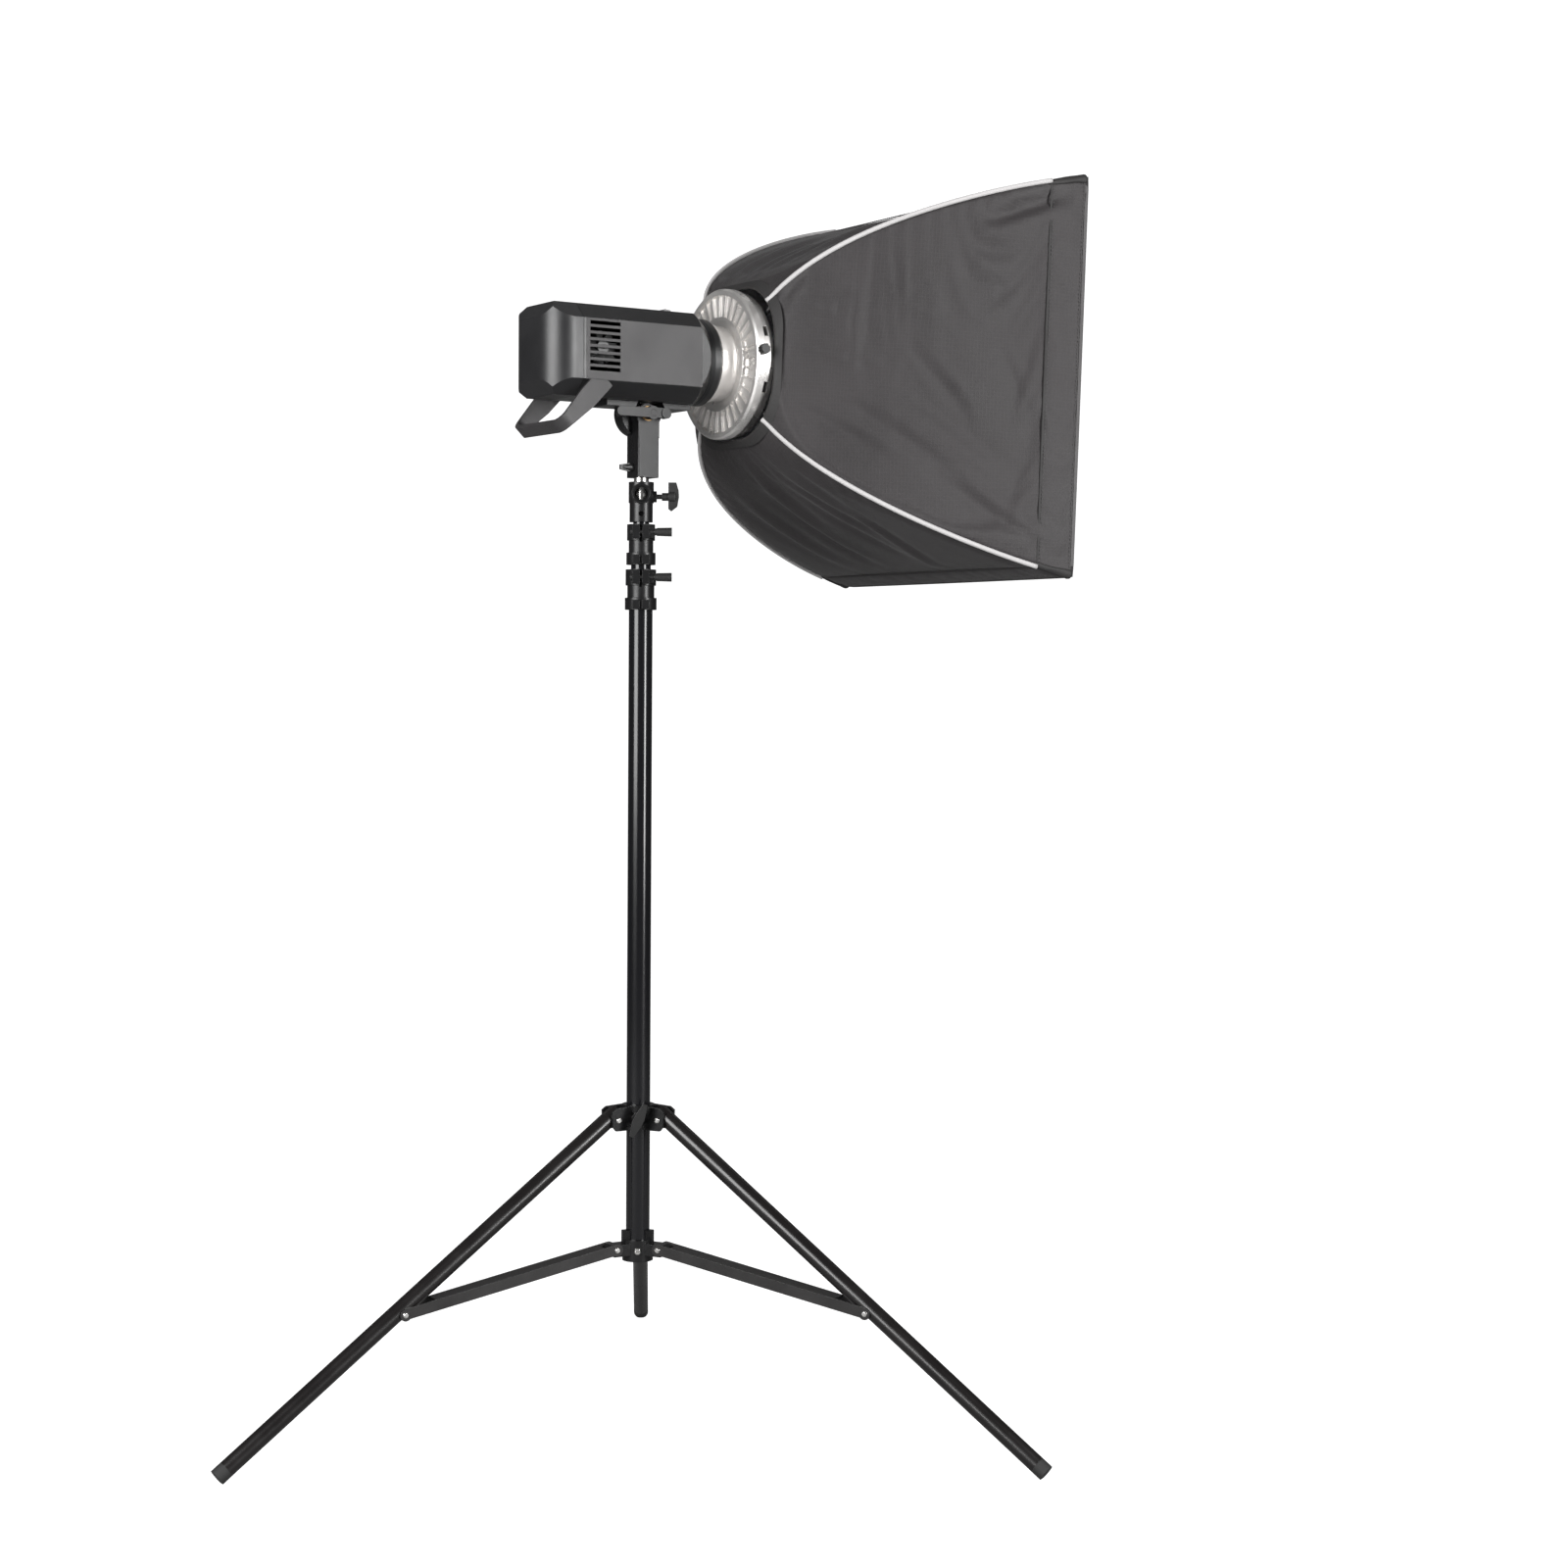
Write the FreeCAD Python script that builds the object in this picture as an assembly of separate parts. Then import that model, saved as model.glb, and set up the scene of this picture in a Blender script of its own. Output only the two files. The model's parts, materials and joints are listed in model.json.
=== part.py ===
import FreeCAD, Part
import math
import os

# Studio softbox kit: square fabric softbox on a speed ring, flash head, tilting bracket
# and a three-section light stand with a braced tripod.
#
# Millimetres, +Z up. While the pieces are drawn, the stand's column is the Z axis, the floor
# is z = 0 and the softbox points along +X. place() then moves everything so that the origin
# lies on the floor, under the middle of the whole object's box.

V = FreeCAD.Vector
X_AXIS, Y_AXIS, Z_AXIS = V(1, 0, 0), V(0, 1, 0), V(0, 0, 1)

# ---- tripod ---------------------------------------------------------------------------
LEG_HEADINGS = (59.3, 179.3, 299.3)     # degrees about +Z from +X
PIVOT_R = 35.3                          # leg and brace pivots, from the column's axis
UPPER_PIVOT_Z = 385.5
LOWER_PIVOT_Z = 220.7
LEG_LEAN = 53.8                         # degrees between an open leg and the column
LEG_OFFSET = 5.0                        # leg's centre line above the line of its pivots
LEG_R, LEG_WALL = 10.5, 1.2
LEG_TOP = 9.0                           # tube above the upper pivot
LEG_PIVOT_SPACING = 360.0               # from the leg's top pivot to its brace pivot
FOOT_FLAT = 0.8                         # depth of the flat worn into the foot's edge
FOOT_PLUG = 14.0
BRACE_INNER = 21.6                      # channel's inside width
SHEET = 1.6                             # channel's sheet thickness
BRACE_WEB_TOP = 7.6                     # outer face of the web from the pivot line
BRACE_FLANGE_LOW = 6.0
BRACE_END = 7.5
WEB_CUT_LEG, WEB_CUT_HUB = 42.0, 17.0
RIVET_R, RIVET_HEAD_R, RIVET_HEAD = 2.5, 4.0, 1.4
ARM_CLEARANCE = 0.2

# ---- column ---------------------------------------------------------------------------
TUBE1_R, TUBE2_R, TUBE3_R = 15.0, 12.5, 10.0
TUBE_WALL = 1.2
RUNNING = 0.05                          # radial clearance of a running fit
COLUMN_BOTTOM = 207.0
COLLAR1_Z = 1027.0                      # bottom of the lower collar
COLLAR2_Z = 1083.5                      # bottom of the upper collar
COLLAR_H = 50.5
COLLAR_SPLIT_H = 20.0                   # height of the clamping part
FRONT = -30.0                           # turn of the collars' clamp lugs from -Y
HEAD_Z0, HEAD_Z1 = 1137.0, 1187.0       # stand head casting
STUD_R = 8.0
CROSS_BORE_Z = 1172.0
KNOB_R = 5.6

# ---- bracket --------------------------------------------------------------------------
BLOCK_Z0, BLOCK_Z1, BLOCK_HALF = 1192.5, 1262.0, 15.0
BLOCK_X0, BLOCK_X1 = -13.0, 17.0
TILT_Z = 1272.0                         # the tilt axis runs along Y through the column's axis
DISC_R, DISC_Y0, DISC_Y1 = 28.0, 1.2, 21.0
EYE_R = 12.8                            # bracket's eye round the tilt bolt
LEVER_TIP_X = 18.0
LOCK_SCREW_Z = 1205.0

# ---- flash head -----------------------------------------------------------------------
AXIS_Z = 1342.0
BODY_X0, BODY_X1 = -158.0, 70.0
BODY_HALF_W, BODY_HALF_H = 56.0, 56.5
BODY_SIDE_FLAT, BODY_TOP_FLAT = 37.0, 35.0
BODY_WALL = 3.0
BODY_CORNER = 34.0
REAR_BEVEL_X, REAR_BEVEL_Z = 14.0, 18.0
SEAT_R, SEAT_X1 = 50.0, 110.0
BEZEL_X1 = 88.0
RAIL_Z0, RAIL_Z1 = 1278.5, AXIS_Z - BODY_HALF_H

# ---- speed ring and softbox -----------------------------------------------------------
RING_X0, RING_X1 = 112.0, 137.0
RING_R, RING_FACE = 95.5, 4.0
INSERT_R = 50.0
SOFTBOX_X = 137.0                       # plane where the fabric starts
DEPTH = 361.0
HALF_FRONT = 254.0                      # 508 mm square front
SAG = 2.1                               # the softbox droops this many degrees on its ring
FABRIC = 1.2
SKIRT = 50.0
ROD_R = 2.5
# distance along the softbox and distance from its axis of the rod line, at five places
RIB_PROFILE = ((0.0, 106.0), (37.0, 176.0), (121.0, 251.0), (217.0, 306.0), (DEPTH, 359.2))


# ---- helpers --------------------------------------------------------------------------
def box(x0, x1, y0, y1, z0, z1):
    return Part.makeBox(x1 - x0, y1 - y0, z1 - z0, V(x0, y0, z0))


def rod(radius, base, axis, length):
    return Part.makeCylinder(radius, length, base, axis)


def ring(outer, inner, base, axis, length):
    return rod(outer, base, axis, length).cut(rod(inner, base, axis, length))


def prism(points, direction):
    """Extrusion of a closed polygon."""
    wire = Part.makePolygon(list(points) + [points[0]])
    return Part.Face(wire).extrude(direction)


def revolve_about_x(points, centre_z=AXIS_Z):
    """Solid of revolution about the head's axis from (x, radius) points."""
    corners = [V(x, 0, centre_z + r) for x, r in points]
    face = Part.Face(Part.makePolygon(corners + [corners[0]]))
    return face.revolve(V(0, 0, centre_z), X_AXIS, 360)


def turned(shape, angle, centre=V(0, 0, 0), axis=Z_AXIS):
    copy = shape.copy()
    copy.rotate(centre, axis, angle)
    return copy


def joined(shapes):
    result = shapes[0]
    for shape in shapes[1:]:
        result = result.fuse(shape)
    return result.removeSplitter()


def group(shapes):
    return Part.makeCompound(shapes)


def polar(radius, heading, z):
    a = math.radians(heading)
    return V(radius * math.cos(a), radius * math.sin(a), z)


# ---- tripod ---------------------------------------------------------------------------
LEAN = math.radians(LEG_LEAN)
# these are in a leg's own plane: x outwards from the column, z up
TOP_PIVOT = V(PIVOT_R, 0, UPPER_PIVOT_Z)
HUB_PIVOT = V(PIVOT_R, 0, LOWER_PIVOT_Z)
LEG_DOWN = V(math.sin(LEAN), 0, -math.cos(LEAN))
LEG_UP_SIDE = V(math.cos(LEAN), 0, math.sin(LEAN))
BRACE_PIVOT = TOP_PIVOT + LEG_DOWN * LEG_PIVOT_SPACING
BRACE_LENGTH = (BRACE_PIVOT - HUB_PIVOT).Length
BRACE_OUT = (BRACE_PIVOT - HUB_PIVOT).normalize()
BRACE_UP = V(-BRACE_OUT.z, 0, BRACE_OUT.x)
BRACE_ANGLE = math.degrees(math.acos(BRACE_OUT.z))      # from straight up
# the leg's end is cut square, and its lowest edge is FOOT_FLAT below the floor
LEG_REACH = (UPPER_PIVOT_Z + (LEG_OFFSET - LEG_R) * math.sin(LEAN) + FOOT_FLAT) / math.cos(LEAN)
FOLD_TRAVEL = LOWER_PIVOT_Z + BRACE_LENGTH + LEG_PIVOT_SPACING - UPPER_PIVOT_Z


def around(shape_in_plane):
    """The three copies of a shape drawn in a leg's plane, in the order of the legs."""
    return [turned(shape_in_plane, heading) for heading in LEG_HEADINGS]


def leg_line(distance, offset=LEG_OFFSET):
    return TOP_PIVOT + LEG_DOWN * distance + LEG_UP_SIDE * offset


def leg_tube():
    length = LEG_REACH - FOOT_PLUG + LEG_TOP
    tube = rod(LEG_R, leg_line(-LEG_TOP), LEG_DOWN, length)
    tube = tube.cut(rod(LEG_R - LEG_WALL, leg_line(-LEG_TOP + LEG_WALL), LEG_DOWN, length))
    hole = rod(RIVET_R + RUNNING, BRACE_PIVOT - Y_AXIS * LEG_R * 2, Y_AXIS, LEG_R * 4)
    return tube.cut(hole)


def leg_foot():
    """Plastic plug, flush with the tube, flat where it stands on the floor."""
    plug = rod(LEG_R, leg_line(LEG_REACH - FOOT_PLUG), LEG_DOWN, FOOT_PLUG)
    spigot = rod(LEG_R - LEG_WALL, leg_line(LEG_REACH - 2 * FOOT_PLUG), LEG_DOWN, FOOT_PLUG)
    foot = joined([plug, spigot])
    below = box(0, 1000, -50, 50, -50, 0)
    return foot.cut(below)


def brace():
    """Inverted channel: its flanges straddle the hub's arm and the leg."""
    half = BRACE_INNER / 2 + SHEET
    total = BRACE_LENGTH

    def plate(u0, u1, y0, y1, v0, v1):
        corners = [HUB_PIVOT + BRACE_OUT * u + BRACE_UP * v
                   for u, v in ((u0, v0), (u1, v0), (u1, v1), (u0, v1))]
        base = [V(c.x, y0, c.z) for c in corners]
        return prism(base, V(0, y1 - y0, 0))

    parts = [plate(WEB_CUT_HUB, total - WEB_CUT_LEG, -half, half, BRACE_WEB_TOP - SHEET, BRACE_WEB_TOP)]
    for side in (-1, 1):
        inner, outer = sorted((side * BRACE_INNER / 2, side * half))
        flange = plate(0, total, inner, outer, -BRACE_FLANGE_LOW, BRACE_WEB_TOP)
        for pivot in (HUB_PIVOT, BRACE_PIVOT):
            flange = flange.fuse(rod(BRACE_END, V(pivot.x, inner, pivot.z), Y_AXIS, SHEET))
        parts.append(flange)
    shape = joined(parts)
    for pivot in (HUB_PIVOT, BRACE_PIVOT):
        shape = shape.cut(rod(RIVET_R + RUNNING, pivot - Y_AXIS * 30, Y_AXIS, 60))
    return shape


def rivet(pivot, half_width):
    """A rivet along Y through a pivot, with a head on each side."""
    shank = rod(RIVET_R, pivot - Y_AXIS * half_width, Y_AXIS, 2 * half_width)
    heads = [Part.makeCone(RIVET_HEAD_R, RIVET_HEAD_R * 0.6, RIVET_HEAD,
                           pivot + Y_AXIS * side * half_width, Y_AXIS * side) for side in (-1, 1)]
    return joined([shank] + heads)


BRACE_RIVET_HALF = BRACE_INNER / 2 + SHEET + RUNNING
EAR_HALF, EAR = LEG_R + 0.35, 3.8


def lower_hub():
    sleeve = rod(19.5, V(0, 0, LOWER_PIVOT_Z - 15), Z_AXIS, 25)
    arm_half = BRACE_INNER / 2 - ARM_CLEARANCE
    outline = [V(12, -arm_half, LOWER_PIVOT_Z - 9), V(PIVOT_R + 4, -arm_half, LOWER_PIVOT_Z - 9),
               V(PIVOT_R + 9.3, -arm_half, LOWER_PIVOT_Z - 3), V(PIVOT_R + 9.3, -arm_half, LOWER_PIVOT_Z + 3),
               V(PIVOT_R + 5, -arm_half, LOWER_PIVOT_Z + 6), V(12, -arm_half, LOWER_PIVOT_Z + 6)]
    arm = prism(outline, V(0, 2 * arm_half, 0))
    posts = [turned(box(13, 21, -3.5, 3.5, LOWER_PIVOT_Z + 4, LOWER_PIVOT_Z + 22), heading + 60 + side * 52)
             for heading in LEG_HEADINGS for side in (-1, 1)]
    body = joined([sleeve] + around(arm) + posts)
    body = body.cut(rod(TUBE1_R, V(0, 0, 150), Z_AXIS, 200))
    for pin in around(rod(RIVET_R, HUB_PIVOT - Y_AXIS * 30, Y_AXIS, 60)):
        body = body.cut(pin)
    for heading in LEG_HEADINGS:
        body = body.cut(rod(2.5, V(0, 0, LOWER_PIVOT_Z - 3), polar(1, heading + 60, 0), 40))
    base = ring(19.5, TUBE1_R - TUBE_WALL, V(0, 0, LOWER_PIVOT_Z - 17), Z_AXIS, 2.5)
    return joined([body, base])


def lower_hub_rivets():
    return group(around(rivet(HUB_PIVOT, BRACE_RIVET_HALF)))


def hub_screws():
    """Pan-head screws that hold the lower hub to the column, between the arms."""
    screws = []
    for heading in LEG_HEADINGS:
        out = polar(1, heading + 60, 0)
        base = V(0, 0, LOWER_PIVOT_Z - 3)
        shank = rod(2.5, base + out * TUBE1_R, out, 19.5 - TUBE1_R)
        head = Part.makeCone(5.0, 3.6, 2.4, base + out * 19.5, out)
        slot = turned(box(18, 24, -2.2, 2.2, LOWER_PIVOT_Z - 3.5, LOWER_PIVOT_Z - 2.5), heading + 60)
        deep = rod(10, base + out * 10, out, 10.8)
        screws.append(joined([shank, head]).cut(slot.cut(deep)))
    return group(screws)


def upper_hub():
    """Sliding casting: a sleeve and three arms, each a pair of ears with a leg between."""
    z0, z1 = UPPER_PIVOT_Z - 13.5, UPPER_PIVOT_Z + 17
    sleeve = rod(20.5, V(0, 0, z0), Z_AXIS, z1 - z0)
    half = EAR_HALF + EAR
    outline = [V(8, -half, z0), V(PIVOT_R + 4, -half, z0), V(PIVOT_R + 9, -half, z0 + 6),
               V(PIVOT_R + 10, -half, z1 - 6), V(PIVOT_R + 4, -half, z1 - 2), V(8, -half, z1)]
    arm = prism(outline, V(0, 2 * half, 0))
    boss = turned(rod(8, V(0, -15, UPPER_PIVOT_Z + 1), V(0, -1, 0), 11), FRONT)
    body = joined([sleeve] + around(arm) + [boss])
    slot = box(21, 80, -EAR_HALF, EAR_HALF, z0 - 1, z1 + 1)
    for cut in around(slot):
        body = body.cut(cut)
    body = body.cut(rod(TUBE1_R + RUNNING, V(0, 0, 150), Z_AXIS, 400))
    bolt_way = turned(rod(3 + RUNNING, V(0, -5, UPPER_PIVOT_Z + 1), V(0, -1, 0), 40), FRONT)
    body = body.cut(bolt_way)
    for pin in around(rod(RIVET_R, TOP_PIVOT - Y_AXIS * 30, Y_AXIS, 60)):
        body = body.cut(pin)
    return body


def upper_hub_rivets():
    """Headed rivets, one in each ear. They end flush with the ear's inner face."""
    stubs = []
    for side in (-1, 1):
        start = TOP_PIVOT + Y_AXIS * side * EAR_HALF
        shank = rod(RIVET_R, start, Y_AXIS * side, EAR)
        head = Part.makeCone(RIVET_HEAD_R, RIVET_HEAD_R * 0.6, RIVET_HEAD, start + Y_AXIS * side * EAR,
                             Y_AXIS * side)
        stubs.append(joined([shank, head]))
    return group([turned(stub, heading) for heading in LEG_HEADINGS for stub in stubs])


HUB_KNOB_Z = UPPER_PIVOT_Z + 1
WING_TILT = -24.0                       # the clamp wing rests this far off upright


def hub_lever():
    """Clamping wing on its bolt, drawn facing -Y and then turned to the front."""
    bolt = rod(3, V(0, -TUBE1_R - 0.5, HUB_KNOB_Z), V(0, -1, 0), 24)
    hub = rod(6.5, V(0, -26.3, HUB_KNOB_Z), V(0, -1, 0), 7)
    half_len = 22.0
    outline = [V(-3, 0, half_len), V(2.5, 0, half_len), V(6.5, 0, 5), V(6.5, 0, -5),
               V(3, 0, -half_len), V(-2.5, 0, -half_len), V(-6.5, 0, -5), V(-6.5, 0, 5)]
    wing = prism([V(p.x, -33.3, HUB_KNOB_Z + p.z) for p in outline], V(0, -7, 0))
    wing = turned(wing, WING_TILT, V(0, 0, HUB_KNOB_Z), V(0, -1, 0))
    return turned(joined([bolt, hub, wing]), FRONT)


# ---- column ---------------------------------------------------------------------------
def tube(radius, z0, z1):
    return ring(radius, radius - TUBE_WALL, V(0, 0, z0), Z_AXIS, z1 - z0)


def column_tube():
    body = tube(TUBE1_R, COLUMN_BOTTOM, COLLAR1_Z + COLLAR_H - COLLAR_SPLIT_H - 4)
    return body


def mid_tube():
    guide = ring(TUBE1_R - TUBE_WALL - RUNNING, TUBE2_R - TUBE_WALL, V(0, 0, 236), Z_AXIS, 22)
    return joined([tube(TUBE2_R, 236, COLLAR2_Z + COLLAR_H - COLLAR_SPLIT_H - 4), guide])


def top_tube():
    guide = ring(TUBE2_R - TUBE_WALL - RUNNING, TUBE3_R - TUBE_WALL, V(0, 0, 262), Z_AXIS, 22)
    return joined([tube(TUBE3_R, 262, HEAD_Z0 + 18), guide])


def collar(z0, outer_tube_r, inner_tube_r, body_r):
    """Section lock: the sleeve grips the outer tube, and the split clamp above it closes on
    the inner one. Drawn facing -Y and then turned to the front."""
    split_z = z0 + COLLAR_H - COLLAR_SPLIT_H
    z1 = z0 + COLLAR_H
    sleeve = rod(body_r + 0.8, V(0, 0, z0), Z_AXIS, 15)
    neck = rod(body_r - 2.2, V(0, 0, z0 + 15), Z_AXIS, split_z - z0 - 15)
    clamp = rod(body_r, V(0, 0, split_z), Z_AXIS, COLLAR_SPLIT_H)
    lugs = box(-10.5, 10.5, -body_r - 4.5, 0, split_z + 2, z1 - 1)
    side_lug = box(8, 16.5, -body_r - 2.5, -4, split_z + 2.5, z1 - 3)
    pads = [box(x0, x0 + 9, -body_r - 3.2, -8, z0 + 1, z0 + 12) for x0 in (-10.5, 1.5)]
    body = joined([sleeve, neck, clamp, lugs, side_lug] + pads)
    body = body.cut(rod(outer_tube_r, V(0, 0, z0 - 1), Z_AXIS, split_z - 4 - z0 + 1))
    body = body.cut(rod(inner_tube_r + RUNNING, V(0, 0, z0 - 1), Z_AXIS, COLLAR_H + 2))
    body = body.cut(box(-1.6, 1.6, -50, 0, split_z - 2, z1 + 1))
    body = body.cut(rod(2.5 + RUNNING, V(-30, -body_r - 0.8, split_z + 10), X_AXIS, 80))
    return turned(body, FRONT)


def collar_knob(z0, body_r):
    """Round knob on the clamp's cross bolt, with grip flutes and a ferrule."""
    y, z = -body_r - 0.8, z0 + COLLAR_H - COLLAR_SPLIT_H + 10
    bolt = rod(2.5, V(-12.5, y, z), X_AXIS, 31)
    nut = rod(3.8, V(-13.7, y, z), X_AXIS, 3)
    ferrule = rod(4.4, V(16.8, y, z), X_AXIS, 3)
    grip = Part.makeCone(KNOB_R - 0.5, KNOB_R, 19, V(19.5, y, z), X_AXIS)
    flutes = []
    for i in range(10):
        a = math.radians(36 * i)
        at = V(22.5, y + KNOB_R * 1.08 * math.cos(a), z + KNOB_R * 1.08 * math.sin(a))
        flutes.append(rod(0.9, at, X_AXIS, 13))
    grip = grip.cut(group(flutes))
    return turned(joined([bolt, nut, ferrule, grip]), FRONT)


def stand_head():
    """Top casting: socket for the bracket's stud, a cross bore and a wing-screw boss."""
    body = joined([rod(14.6, V(0, 0, HEAD_Z0), Z_AXIS, 26),
                   rod(15.8, V(0, 0, HEAD_Z0 + 24), Z_AXIS, HEAD_Z1 - HEAD_Z0 - 24),
                   turned(rod(12.5, V(0, 15, CROSS_BORE_Z), V(0, -1, 0), 34), FRONT),
                   turned(rod(7, V(10, 0, CROSS_BORE_Z - 3), X_AXIS, 9.5), FRONT)])
    body = body.cut(rod(TUBE3_R, V(0, 0, HEAD_Z0 - 1), Z_AXIS, 19))
    body = body.cut(rod(STUD_R + 0.1, V(0, 0, HEAD_Z0 + 17), Z_AXIS, 60))
    body = body.cut(turned(rod(STUD_R + 0.1, V(0, 40, CROSS_BORE_Z), V(0, -1, 0), 80), FRONT))
    lead_in = Part.makeCone(STUD_R + 0.1, 10.8, 2.5, V(0, -16.5, CROSS_BORE_Z), V(0, -1, 0))
    body = body.cut(turned(lead_in, FRONT))
    body = body.cut(turned(rod(3 + RUNNING, V(0, 0, CROSS_BORE_Z - 3), X_AXIS, 40), FRONT))
    body = body.cut(turned(rod(3.2, V(0, -30, HEAD_Z0 + 10), Y_AXIS, 60), FRONT))
    return body


def head_wing_screw():
    """Wing screw that clamps the stud, drawn along +X and then turned."""
    z = CROSS_BORE_Z - 3
    bolt = rod(3, V(STUD_R + 0.6, 0, z), X_AXIS, 28)
    stem = rod(5.0, V(26, 0, z), X_AXIS, 9)
    outline = [V(34, -3.5, z - 15), V(34, -3.5, z + 18), V(44, -3.5, z + 18), V(47, -3.5, z + 8),
               V(47.5, -3.5, z), V(45.5, -3.5, z - 12), V(38, -3.5, z - 18)]
    wing = prism(outline, V(0, 7, 0))
    hub = rod(7, V(34, 0, z), X_AXIS, 8)
    return turned(joined([bolt, stem, hub, wing]), FRONT)


# ---- bracket --------------------------------------------------------------------------
def stand_stud():
    """Spigot between the stand's head and the bracket, with a shoulder that carries the load."""
    low = rod(STUD_R, V(0, 0, HEAD_Z0 + 19), Z_AXIS, HEAD_Z1 - HEAD_Z0 - 19)
    shoulder = rod(9.4, V(0, 0, HEAD_Z1), Z_AXIS, BLOCK_Z0 - HEAD_Z1 - RUNNING)
    top = rod(STUD_R, V(0, 0, BLOCK_Z0 - RUNNING), Z_AXIS, 24)
    groove = ring(STUD_R + 1, STUD_R - 1.2, V(0, 0, LOCK_SCREW_Z - 4.5), Z_AXIS, 9)
    return joined([low, shoulder, top]).cut(groove)


def bracket_block():
    """Socket on the stud. Its near half runs up to the tilt bolt, and its far half is cut
    away round the knuckle's disc."""
    x0, x1, h = BLOCK_X0, BLOCK_X1, BLOCK_HALF
    block = box(x0, x1, -h, h, BLOCK_Z0, BLOCK_Z1)
    vertical = [e for e in block.Edges if abs(e.tangentAt(e.FirstParameter).z) > 0.99]
    block = block.makeFillet(2.0, vertical)
    ear = prism([V(x0, -h, BLOCK_Z1 - 20), V(x1, -h, BLOCK_Z1 - 20), V(x1, -h, BLOCK_Z1),
                 V(x1 + 3, -h, BLOCK_Z1 + 6), V(x0 - 3, -h, BLOCK_Z1 + 6), V(x0, -h, BLOCK_Z1)],
                V(0, h + DISC_Y0 - 0.4, 0))
    eye = rod(EYE_R, V(0, -h, TILT_Z), Y_AXIS, h + DISC_Y0 - 0.4)
    body = joined([block, ear, eye])
    body = body.cut(rod(DISC_R + 0.8, V(0, DISC_Y0 - 0.4, TILT_Z), Y_AXIS, 40))
    body = body.cut(rod(STUD_R + RUNNING, V(0, 0, BLOCK_Z0 - 1), Z_AXIS, 26))
    body = body.cut(rod(3 + RUNNING, V(-60, 0, LOCK_SCREW_Z), X_AXIS, 60))
    return body.cut(rod(4 + RUNNING, V(0, -60, TILT_Z), Y_AXIS, 120))


def stud_lock_screw():
    bolt = rod(3, V(-7.4, 0, LOCK_SCREW_Z), V(-1, 0, 0), 9)
    grip = Part.makeCone(5.2, 2.6, 14, V(BLOCK_X0 - 0.4, 0, LOCK_SCREW_Z), V(-1, 0, 0))
    wings = prism([V(-17, -1.6, LOCK_SCREW_Z - 5.5), V(-17, -1.6, LOCK_SCREW_Z + 5.5),
                   V(-31, -1.6, LOCK_SCREW_Z + 3), V(-31, -1.6, LOCK_SCREW_Z - 3)], V(0, 3.2, 0))
    return joined([bolt, grip, wings])


def tilt_knuckle():
    """Grooved disc on the head's side of the tilt joint, with the rail that carries the head."""
    disc = rod(DISC_R, V(0, DISC_Y0, TILT_Z), Y_AXIS, DISC_Y1 - DISC_Y0)
    groove = ring(DISC_R + 1, DISC_R - 2, V(0, (DISC_Y0 + DISC_Y1) / 2, TILT_Z), Y_AXIS, 1.2)
    disc = disc.cut(groove).cut(box(-60, 60, -60, 60, RAIL_Z0, RAIL_Z0 + 60))
    rail = box(-62, 58, -22, 22, RAIL_Z0, RAIL_Z1)
    body = joined([disc, rail])
    body = body.cut(rod(EYE_R + 9, V(0, -30, TILT_Z), Y_AXIS, 30 + DISC_Y0 - 0.05))
    body = body.cut(rod(10, V(0, DISC_Y1, TILT_Z), Y_AXIS, 10))
    return body.cut(rod(4, V(0, -60, TILT_Z), Y_AXIS, 120))


def tilt_bolt():
    shank = rod(4, V(0, -30, TILT_Z), Y_AXIS, DISC_Y1 + 31)
    nut = prism([V(6.3 * math.cos(a), DISC_Y1, TILT_Z + 6.3 * math.sin(a))
                 for a in [math.radians(60 * i) for i in range(6)]], V(0, 5, 0))
    return joined([shank, nut])


def tilt_washer():
    """Brass friction washer between the block and the lever."""
    return ring(9.2, 4 + RUNNING, V(0, -BLOCK_HALF - 1.9, TILT_Z), Y_AXIS, 1.8)


def tilt_lever():
    """Clamping lever: hub on the tilt bolt and a bar along the head, with a round end."""
    y0, y1 = -30.0, -BLOCK_HALF - 2.1
    hub = rod(8.5, V(0, y0, TILT_Z), Y_AXIS, y1 - y0)
    bar = prism([V(-46, y0, TILT_Z - 6), V(LEVER_TIP_X, y0, TILT_Z - 6), V(LEVER_TIP_X, y0, TILT_Z + 6.6),
                 V(-46, y0, TILT_Z + 6)], V(0, 7.5, 0))
    left_end = rod(6, V(-46, y0, TILT_Z), Y_AXIS, 7.5)
    tip = rod(6.8, V(LEVER_TIP_X, y0 - 1.5, TILT_Z), Y_AXIS, 9)
    lever = joined([hub, bar, left_end, tip])
    return lever.cut(rod(4 + RUNNING, V(0, -60, TILT_Z), Y_AXIS, 120))


# ---- flash head -----------------------------------------------------------------------
def octagon(half_w, half_h, side_flat, top_flat, x0, x1):
    """Prism along X with the head's eight-sided section."""
    corners = ((-half_w, -side_flat), (-half_w, side_flat), (-top_flat, half_h), (top_flat, half_h),
               (half_w, side_flat), (half_w, -side_flat), (top_flat, -half_h), (-top_flat, -half_h))
    return prism([V(x0, y, AXIS_Z + z) for y, z in corners], V(x1 - x0, 0, 0))


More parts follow.
